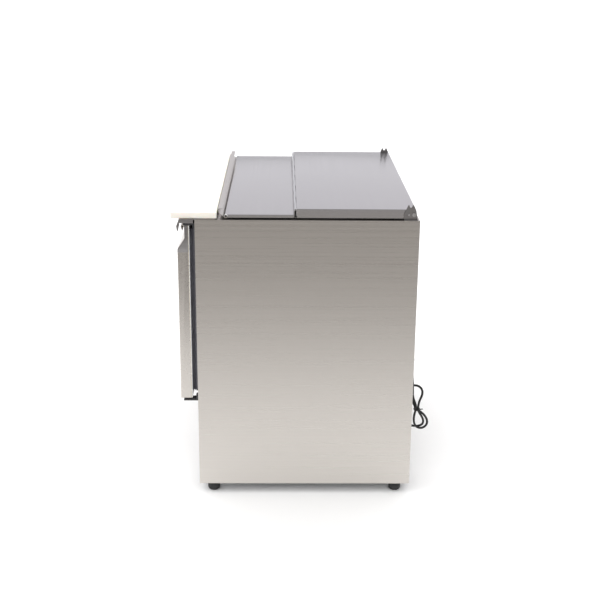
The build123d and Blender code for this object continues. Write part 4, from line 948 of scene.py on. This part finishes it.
@dataclass
class Door:
    """One door: folded skin with its finger pocket, end cap, lining and bellows gasket."""

    shop: Workshop
    side: Side
    pocket_depth: float = 20.3 * MM
    pocket_low: float = 70.0 * MM  # below the door's top
    pocket_high: float = 39.4 * MM
    bend: float = 2.6 * MM
    lip_reach: float = 9.4 * MM
    lip_drop: float = 17.0 * MM
    cap_drop: float = 79.0 * MM  # height of the end cap
    cap_thick: float = 0.7 * MM

    @property
    def word(self) -> str:
        """The door's side as a word."""
        return self.side.name.lower()

    def outline(
        self, low: Vector, high: Vector, inset: float, bottom: float,
    ) -> list[tuple[float, float]]:
        """Side outline in (Y, Z).

        Args:
            low: Lowest corner of the skin.
            high: Highest corner of the skin.
            inset: How far the outline is drawn in.
            bottom: Z of its lower edge.

        Returns:
            The outline's points.
        """
        front, back, top = low.y + inset, high.y - inset, high.z - inset
        slope = inset * 0.41
        return [
            (back, bottom), (front, bottom), (front, high.z - self.pocket_low - slope),
            (low.y + self.pocket_depth + inset, high.z - self.pocket_high - slope),
            (low.y + self.pocket_depth + inset, top), (back, top),
        ]

    def build(self) -> None:
        """Builds the door's pieces."""
        node = f"{self.word}_door"
        low, high = box_ends(f"{node}_skin")
        bm = bmesh.new()
        add_prism(bm, self.outline(low, high, 0.0, low.z), low.x, high.x, self.bend, 4)
        self.lip(bm, low, high)
        self.shop.piece(bm, f"{node}_sheet", node, "sheet_steel", "brushed_steel", (f"{node}_skin",))
        self.caps(low, high)
        self.shop.dress("foam_cream", f"{node}_core")
        self.shop.rounded(f"{node}_lining", "liner_white", 1.2 * MM, 3)
        self.gasket()

    def lip(self, bm: BMesh, low: Vector, high: Vector) -> None:
        """Adds the curled lip over the finger pocket."""
        wall, top, thick = low.y + self.pocket_depth, high.z, 1.6 * MM
        nose = wall - self.lip_reach
        curl = nose + 3.8 * MM
        outline = [
            (wall + 1 * MM, top), (nose + 3 * MM, top), (nose, top - 3 * MM),
            (curl, top - self.lip_drop), (curl + thick, top - self.lip_drop + 0.4 * MM),
            (nose + 0.3 * MM + thick, top - 3.8 * MM), (nose + 3.6 * MM, top - thick),
            (wall + 1 * MM, top - thick),
        ]
        add_prism(bm, outline, low.x + 0.3 * MM, high.x - 0.3 * MM, 0.35 * MM)

    def caps(self, low: Vector, high: Vector) -> None:
        """Thin end caps over both ends of the finger pocket."""
        bm = bmesh.new()
        outline = self.outline(low, high, 0.8 * MM, high.z - self.cap_drop)
        thick, inside = self.cap_thick, 0.2 * MM
        for x0, x1 in ((low.x - thick, low.x + inside), (high.x - inside, high.x + thick)):
            add_prism(bm, outline, x0, x1, 0.25 * MM)
        body = f"{self.word}_door"
        self.shop.piece(bm, f"{body}_end_caps", body, "bracket_steel", "brushed_steel")

    def gasket(self) -> None:
        """Bellows gasket: one ribbed section run round the door with mitred corners."""
        body = f"{self.word}_door"
        low, high = box_ends(f"{body}_gasket")
        deep, wide = high.y - low.y, 15.0 * MM
        outer = [
            (0.0, 2.4), (1.6, 1.0), (2.6, 1.0), (3.6, 3.6), (4.6, 3.8), (5.4, 1.2), (6.6, 0.7),
            (7.6, 3.4), (8.6, 3.7), (9.4, 1.4), (10.2, 0.4), (14.9, 0.4), (15.6, 1.3),
        ]
        reach = outer[-1][0] * MM
        section = [(depth * MM * deep / reach, inset * MM) for depth, inset in outer]
        section += [(d, wide - i) for d, i in reversed(section)]
        bm = bmesh.new()
        loops = []
        for right, top in ((0, 0), (1, 0), (1, 1), (0, 1)):
            verts = []
            for depth, inset in section:
                x = high.x - inset if right else low.x + inset
                z = high.z - inset if top else low.z + inset
                verts.append(bm.verts.new((x, low.y + depth, z)))
            loops.append([bm.edges.new(ends) for ends in zip(verts, verts[1:] + verts[:1])])
        for first, second in zip(loops, loops[1:] + loops[:1]):
            bmesh.ops.bridge_loops(bm, edges=first + second)
        made = self.shop.piece(
            bm, f"{body}_bellows", body, "gasket_grey", "gasket_rubber", (f"{body}_gasket",), 50,
        )
        round_edges(made, "Rounded ribs", 0.35 * MM, 2, 25)


# --- food pans, shelves and coils
def add_fins(bm: BMesh, low: Vector, high: Vector, pitch: float) -> None:
    """Adds a pack of thin upright fins along X, with its end plates."""
    count = int((high.x - low.x) / pitch)
    for index in range(count + 1):
        x = low.x + (high.x - low.x) * index / count
        thick = 0.8 * MM if index in (0, count) else 0.25 * MM
        x = min(max(x, low.x + thick), high.x - thick)
        add_block(bm, (x - thick / 2, low.y, low.z), (x + thick / 2, high.y, high.z))


def add_serpentine(
    bm: BMesh, low: Vector, high: Vector, rows: int, edge: float, reach: float,
) -> None:
    """Adds straight tubes through a fin pack and return bends past its ends.

    Args:
        bm: Mesh that the tubes are added to.
        low: Lowest corner of the pack.
        high: Highest corner of the pack.
        rows: Number of straight tubes.
        edge: Lowest and highest tube from the pack's ends.
        reach: How far the return bends stand out.
    """
    y = (low.y + high.y) / 2
    levels = [low.z + edge + (high.z - low.z - 2 * edge) * row / (rows - 1) for row in range(rows)]
    points = []
    for row, z in enumerate(levels):
        ends = (low.x, high.x) if row % 2 == 0 else (high.x, low.x)
        points += [Vector((ends[0], y, z)), Vector((ends[1], y, z))]
        if row < rows - 1:
            out = ends[1] + math.copysign(reach * 0.95, ends[1] - ends[0])
            points += [Vector((out, y, z)), Vector((out, y, levels[row + 1]))]
    add_tube(bm, points, 3.9 * MM, sides=2, steps=5)


@dataclass(frozen=True)
class CoilPack:
    """Pack of upright fins with one tube that runs through it to and fro."""

    fin_pitch: float
    rows: int  # straight runs of the tube
    edge: float  # from the pack's top and bottom to the nearest run
    reach: float  # how far the return bends stand out

    def build(self, shop: Workshop, name: str, node: str, low: Vector, high: Vector) -> None:
        """Makes the fins, which stand for the node, and the tube between two corners."""
        bm = bmesh.new()
        add_fins(bm, low, high, self.fin_pitch)
        shop.piece(bm, f"{name}_fins", "cabinet", "fin_stock", "aluminium_fins", (node,))
        bm = bmesh.new()
        add_serpentine(bm, low, high, self.rows, self.edge, self.reach)
        shop.piece(bm, f"{name}_tubes", "cabinet", "copper_tube", "copper")


@dataclass
class ColdSpace:
    """Food pans, their bars, the wire shelves and the evaporator."""

    shop: Workshop
    coil: CoilPack = CoilPack(fin_pitch=4.0 * MM, rows=5, edge=22.0 * MM, reach=12.0 * MM)

    def build(self) -> None:
        """Dresses and builds the cold space's pieces."""
        self.shop.dress("pan_steel", "full_pans", "sixth_pans")
        self.shop.rounded("divider_bars", "sheet_steel", 0.8 * MM)
        self.shop.dress("wire_steel", "wire_shelves")
        self.shop.round_off(("shelf_clips", "liner_white", 0.6), ("evap_cover", "sheet_steel", 0.3, 1))
        self.evaporator()
        self.shop.dress("plastic_black", "evap_fan")

    def evaporator(self) -> None:
        """Evaporator's fins and tubes."""
        low, high = box_ends("evap_coil")
        bends = Vector((self.coil.reach, 0, 0))
        self.coil.build(self.shop, "evap", "evap_coil", low + bends, high - bends)


# --- machine compartment
@dataclass
class MachineBay:
    """Louvred front, compressor, condenser, fan and pipes."""

    shop: Workshop
    dome_radius: float = 75.0 * MM
    dome_tall: float = 165.0 * MM
    coil: CoilPack = CoilPack(fin_pitch=2.8 * MM, rows=6, edge=20.0 * MM, reach=14.0 * MM)
    coil_from: float = 60.0 * MM  # Z of the condenser's lower end
    coil_deep: float = 44.0 * MM
    mouth_gap: float = 4.0 * MM  # between the fan's blades and its shroud
    mouth_deep: float = 26.0 * MM

    def build(self) -> None:
        """Builds the machine compartment's pieces."""
        self.shop.rounded("louvre_panel", "sheet_steel", 0.3 * MM, 1)
        self.front_screws()
        self.compressor()
        self.condenser()
        self.shop.dress("plastic_black", "fan_motors")
        self.shop.dress("fin_stock", "condenser_fan")
        self.shop.dress("copper_tube", "refrigerant_pipes")

    def front_screws(self) -> None:
        """Screws at the louvre panel's corners."""
        low, high = box_ends("panel_screws")
        radius = 4.0 * MM
        across, levels = (low.x + radius, high.x - radius), (low.z + radius, high.z - radius)
        places = [Vector((x, high.y, z)) for x in across for z in levels]
        self.shop.screws("front_screws", places, (0, -1, 0), radius, 1.5 * MM, "panel_screws")

    def compressor(self) -> None:
        """Welded dome with its seam, base plate, rubber feet and terminal cover."""
        low, high = box_ends("compressor")
        radius, tall = self.dome_radius, self.dome_tall
        centre = Vector((low.x + 85 * MM, (low.y + high.y) / 2, high.z - tall))
        seam = tall * 0.52
        outline = [(0.0, 0.0)] + quarter(radius - 30 * MM, 30 * MM, 30 * MM, 30 * MM, -90)
        outline += [
            (radius, seam - 3 * MM), (radius, seam - 2.2 * MM), (radius - 1.2 * MM, seam - 2 * MM),
            (radius - 1.2 * MM, seam + 2 * MM), (radius - 0.6 * MM, seam + 2.4 * MM),
        ]
        outline += quarter(radius - 36 * MM, tall - 34 * MM, 35.4 * MM, 34 * MM, 0)
        outline.append((0.0, tall))
        bm = bmesh.new()
        add_turned(bm, outline, centre, (0, 0, 1), 56)
        plate_low = centre - Vector((85, 60, 4)) * MM
        add_block(bm, plate_low, centre + Vector((85, 60, -1)) * MM, 1.2 * MM)
        cover_low = Vector((centre.x + radius - 8 * MM, centre.y - 28 * MM, centre.z + 45 * MM))
        add_block(bm, cover_low, (high.x, centre.y + 28 * MM, centre.z + 105 * MM), 5 * MM, 3)
        self.shop.piece(
            bm, "compressor_dome", "cabinet", "machine_paint", "machine_black", ("compressor",),
        )
        bm = bmesh.new()
        top = centre.z - 4 * MM - low.z
        bulge = in_mm((0, 0), (9, 0), (8, 3), (9, 6), (8, 9), (9, 12)) + [(7 * MM, top), (0, top)]
        for x in (-74, 74):
            for y in (-50, 50):
                place = Vector((centre.x + x * MM, centre.y + y * MM, low.z))
                add_turned(bm, bulge, place, (0, 0, 1), 20)
        self.shop.piece(bm, "compressor_feet", "cabinet", "rubber_black", "black_rubber")

    def condenser(self) -> None:
        """Condenser's fins and tubes in front of the fan's shroud."""
        low, high = box_ends("condenser")
        reach = self.coil.reach
        pack_low = Vector((low.x + reach, low.y, self.coil_from))
        pack_high = Vector((high.x - reach, low.y + self.coil_deep, high.z))
        self.coil.build(self.shop, "condenser", "condenser", pack_low, pack_high)
        fan_low, fan_high = box_ends("condenser_fan")
        middle = (fan_low + fan_high) / 2
        back = pack_high.y + 1 * MM
        ring = (fan_high.x - fan_low.x) / 2 + self.mouth_gap
        bm = bmesh.new()
        plate_low = Vector((pack_low.x, back, low.z))
        plate_high = Vector((pack_high.x, back + 1.5 * MM, high.z))
        add_shroud(bm, plate_low, plate_high, middle, ring, self.mouth_deep)
        self.shop.piece(bm, "fan_shroud", "cabinet", "zinc_sheet", "galvanised_steel")


def add_shroud(
    bm: BMesh, low: Vector, high: Vector, centre: Vector, radius: float, deep: float,
) -> None:
    """Adds a flat plate on Y with a round mouth that is drawn out into a ring.

    Args:
        bm: Mesh that the plate is added to.
        low: Lowest corner of the plate.
        high: Highest corner of the plate.
        centre: Middle of the mouth.
        radius: The mouth's radius.
        deep: How far the ring reaches behind the plate's front.
    """
    steps = 64
    rim, edge = [], []
    for step in range(steps):
        turn = math.tau * (step + 0.5) / steps
        c, s = math.cos(turn), math.sin(turn)
        rim.append(bm.verts.new((centre.x + radius * c, low.y, centre.z + radius * s)))
        reach = min(
            abs(((high.x if c > 0 else low.x) - centre.x) / c) if abs(c) > 1e-6 else 1e9,
            abs(((high.z if s > 0 else low.z) - centre.z) / s) if abs(s) > 1e-6 else 1e9,
        )
        edge.append(bm.verts.new((centre.x + reach * c, low.y, centre.z + reach * s)))
    rim_edges = [bm.edges.new(ends) for ends in zip(rim, rim[1:] + rim[:1])]
    outer = [bm.edges.new(ends) for ends in zip(edge, edge[1:] + edge[:1])]
    bmesh.ops.bridge_loops(bm, edges=rim_edges + outer)
    drawn = bmesh.ops.extrude_edge_only(bm, edges=rim_edges)["geom"]
    back = [item for item in drawn if isinstance(item, bmesh.types.BMVert)]
    bmesh.ops.translate(bm, verts=back, vec=(0, deep, 0))
    bmesh.ops.recalc_face_normals(bm, faces=bm.faces)
    bmesh.ops.solidify(bm, geom=bm.faces[:], thickness=1.2 * MM)


# --- controls
@dataclass
class Controls:
    """Thermostat window with its figures, buttons and the mains rocker."""

    shop: Workshop
    figure_tall: float = 13.0 * MM
    figure_wide: float = 7.0 * MM
    figure_pitch: float = 14.0 * MM
    figures_from: float = 11.0 * MM  # from the window's left edge
    dot_from: float = 39.0 * MM
    bar: float = 1.4 * MM

    def build(self) -> None:
        """Builds the control cluster's pieces."""
        self.shop.rounded("control_bezel", "plastic_black", 0.35 * MM)
        self.shop.dress("plastic_black", "control_box")
        self.shop.rounded("display_window", "window_tint", 0.4 * MM)
        self.shop.rounded("rocker_switch", "plastic_black", 0.5 * MM)
        self.shop.round_off(*((f"button_{index}", "rubber_black", 0.5) for index in (1, 2, 3)))
        self.figures()

    def figures(self) -> None:
        """Seven-bar figures that glow through the window, and a degree dot."""
        low, high = box_ends("display_window")
        y = low.y - 0.15 * MM
        base = (low.z + high.z) / 2 - self.figure_tall / 2
        bm = bmesh.new()
        for place, lit in enumerate(("abcdg", "abcdefg")):
            self.figure(bm, lit, low.x + self.figures_from + place * self.figure_pitch, y, base)
        dot = Vector((low.x + self.dot_from, y, base + self.figure_tall - 2 * MM))
        add_turned(bm, disc(1.2 * MM, 0.3 * MM), dot, (0, 1, 0), 16)
        self.shop.piece(bm, "display_figures", "cabinet", "lamp_red", "window")

    def figure(self, bm: BMesh, lit: str, x: float, y: float, z: float) -> None:
        """Adds the lit bars of one figure, from its lower left corner."""
        half, wide, bar = self.figure_tall / 2, self.figure_wide, self.bar
        bars = {
            "a": (0, self.figure_tall - bar, wide, bar), "g": (0, half - bar / 2, wide, bar),
            "d": (0, 0, wide, bar),
            "b": (wide - bar, half, bar, half), "c": (wide - bar, 0, bar, half),
            "f": (0, half, bar, half), "e": (0, 0, bar, half),
        }
        for name in lit:
            left, up, across, tall = bars[name]
            corner = (x + left + across, y + 0.3 * MM, z + up + tall)
            add_block(bm, (x + left, y, z + up), corner, 0.1 * MM, 1)


# --- feet
@dataclass
class Feet:
    """Levelling feet with bowl-shaped rubber pads and threaded stems."""

    shop: Workshop
    pad_tall: float = 24.0 * MM
    thread_pitch: float = 1.5 * MM
    neck_tall: float = 32.6 * MM
    stem_from: float = 31.0 * MM

    def build(self) -> None:
        """Builds the four feet."""
        for place in ("front_left", "front_right", "rear_left", "rear_right"):
            self.foot(f"foot_{place}")

    def foot(self, node: str) -> None:
        """Builds one foot."""
        low, high = box_ends(node)
        radius = (high.x - low.x) / 2
        centre = Vector(((low.x + high.x) / 2, (low.y + high.y) / 2, low.z))
        pad, round_by = self.pad_tall, 9 * MM
        outline = [(0.0, 0.6 * MM), (radius * 0.42, 0.6 * MM), (radius * 0.46, 0.0)]
        outline += quarter(radius - round_by, round_by, round_by, round_by, -90)
        outline += [
            (radius, pad - 6 * MM), (radius - 0.8 * MM, pad - 5.4 * MM),
            (radius - 0.8 * MM, pad - 2.5 * MM), (radius - 3 * MM, pad),
            (radius * 0.7, pad), (radius * 0.7, self.neck_tall), (0.0, self.neck_tall),
        ]
        bm = bmesh.new()
        add_turned(bm, outline, centre, (0, 0, 1), 40)
        self.shop.piece(bm, f"{node}_pad", node, "rubber_black", "black_rubber", (node,))
        tall, level = high.z - low.z, self.stem_from
        stem = [(0.0, level)]
        while level < tall - 2 * MM:
            stem += [(4.4 * MM, level), (5.0 * MM, level + self.thread_pitch / 2)]
            level += self.thread_pitch
        stem += [(4.2 * MM, level), (3.6 * MM, tall), (0.0, tall)]
        bm = bmesh.new()
        add_turned(bm, stem, centre, (0, 0, 1), 20)
        self.shop.piece(bm, f"{node}_stem", node, "zinc_sheet", "bright_steel", angle=60)


# --- studio
@dataclass
class Studio:
    """Camera, pale floor and soft lights."""

    camera_place: Point = (3.4758, -0.0365, 1.6034)
    lens: float = 66.78
    pitch: float = 18.071
    yaw: float = 0.976
    roll: float = 0.533
    pale_to: float = 0.3  # X where the floor begins to darken
    dark_from: float = 2.6  # X where it is darkest
    dark: Point = (0.25, 0.238, 0.226)

    def camera(self) -> None:
        """Places the camera at the table's right-hand end, looking a little down."""
        pitch, yaw, roll = (math.radians(angle) for angle in (self.pitch, self.yaw, self.roll))
        ahead = Vector((-math.cos(yaw), math.sin(yaw), 0))
        right = Vector((math.sin(yaw), math.cos(yaw), 0))
        rise = Vector((0, 0, 1))
        view = ahead * math.cos(pitch) - rise * math.sin(pitch)
        over = ahead * math.sin(pitch) + rise * math.cos(pitch)
        across = right * math.cos(roll) + over * math.sin(roll)
        up = over * math.cos(roll) - right * math.sin(roll)
        data = bpy.data.cameras.new("camera")
        data.lens = self.lens
        data.sensor_width = 36.0
        camera = show("camera", data)
        turn = Matrix((across, up, -view)).transposed().to_4x4()
        camera.matrix_world = Matrix.Translation(self.camera_place) @ turn
        bpy.context.scene.camera = camera

    def floor(self) -> None:
        """Wide pale floor that is darker beyond the table's right-hand end."""
        bm = bmesh.new()
        bmesh.ops.create_grid(bm, x_segments=2, y_segments=2, size=70.0)
        mesh = bpy.data.meshes.new("floor")
        bm.to_mesh(mesh)
        bm.free()
        material, tree, shader, position = start_material("floor_white")
        ends = {"Position": position, "Scale": 30.0}
        grain = tree.add("Group", ends, node_tree=GRAIN_GROUP).outputs["Grain"]
        pale = tree.blend(grain, (0.915, 0.915, 0.912), (0.925, 0.925, 0.922))
        along = tree.add("SeparateXYZ", {"Vector": position})
        far = tree.part(along.outputs["X"], self.pale_to, self.dark_from)
        tree.feed(shader, {
            "Base Color": tree.blend(far, pale, self.dark), "Roughness": 0.75,
            "Specular IOR Level": 0.2,
        })
        mesh.materials.append(material)
        show("floor", mesh)

    def lamp(self, name: str, data: bpy.types.Light, power: float, heading: Vector) -> bpy.types.Object:
        """Puts a light that reflections don't show into the scene, shining along the heading."""
        data.energy = power
        lamp = show(name, data)
        lamp.rotation_euler = heading.to_track_quat("-Z", "Y").to_euler()
        lamp.visible_glossy = False
        return lamp

    def sun(self, name: str, heading: Point, power: float, spread: float) -> None:
        """Adds an even light over the whole floor.

        Args:
            name: The light's name.
            heading: Direction that the light travels in.
            power: Its strength in watts per square metre.
            spread: Angle that it comes from, in degrees.
        """
        data = bpy.data.lights.new(name, "SUN")
        data.angle = math.radians(spread)
        self.lamp(name, data, power, Vector(heading))

    def light(
        self, name: str, place: Point, target: Point, size: tuple[float, float], power: float,
    ) -> None:
        """Adds a soft area light.

        Args:
            name: The light's name.
            place: Where it hangs.
            target: Point that it faces.
            size: Its two sides.
            power: Its power in watts.
        """
        data = bpy.data.lights.new(name, "AREA")
        data.shape = "RECTANGLE"
        data.size, data.size_y = size
        heading = Vector(target) - Vector(place)
        self.lamp(name, data, power, heading).location = place

    def sky(self) -> None:
        """Soft surround that is brightest behind the table's left-hand end."""
        world = bpy.data.worlds.new("surround")
        world.use_nodes = True
        tree = Tree(world.node_tree)
        ground = world.node_tree.nodes["Background"]
        direction = tree.add("TexCoord").outputs["Generated"]
        parts = tree.add("SeparateXYZ", {"Vector": direction})
        inputs = {"Value": parts.outputs["X"], "From Min": 0.1, "From Max": -0.8}
        shade = tree.add("MapRange", inputs, interpolation_type="SMOOTHSTEP")
        colour = tree.blend(shade.outputs["Result"], (0.4, 0.395, 0.39), (0.82, 0.81, 0.85))
        tree.give(ground.inputs["Color"], colour)
        bpy.context.scene.world = world

    def build(self) -> None:
        """Builds the studio."""
        self.camera()
        self.floor()
        self.sky()
        self.sun("overhead", (-0.12, 0.1, -1.0), 2.85, 100.0)
        self.sun("end_fill", (-1.0, 0.0, -0.45), 0.9, 60.0)
        self.light("front_fill", (0.8, -3.2, 1.8), (0, 0, 0.45), (2.4, 1.6), 24.0)
        bpy.context.scene.view_settings.view_transform = "Standard"


def main() -> None:
    """Builds the table and its studio in order."""
    logging.basicConfig(level=logging.INFO, format="%(name)s: %(message)s")
    shop = Workshop(finishes())
    Studio().build()
    assemblies = [
        MainsLead(shop), Cabinet(shop), Worktop(shop), Lids(shop), Door(shop, Side.RIGHT),
        Door(shop, Side.LEFT), ColdSpace(shop), MachineBay(shop), Controls(shop), Feet(shop),
    ]
    for assembly in assemblies:
        assembly.build()
    shop.dress("hinge_paint", "door_hinges")


if __name__ == "__main__":
    main()
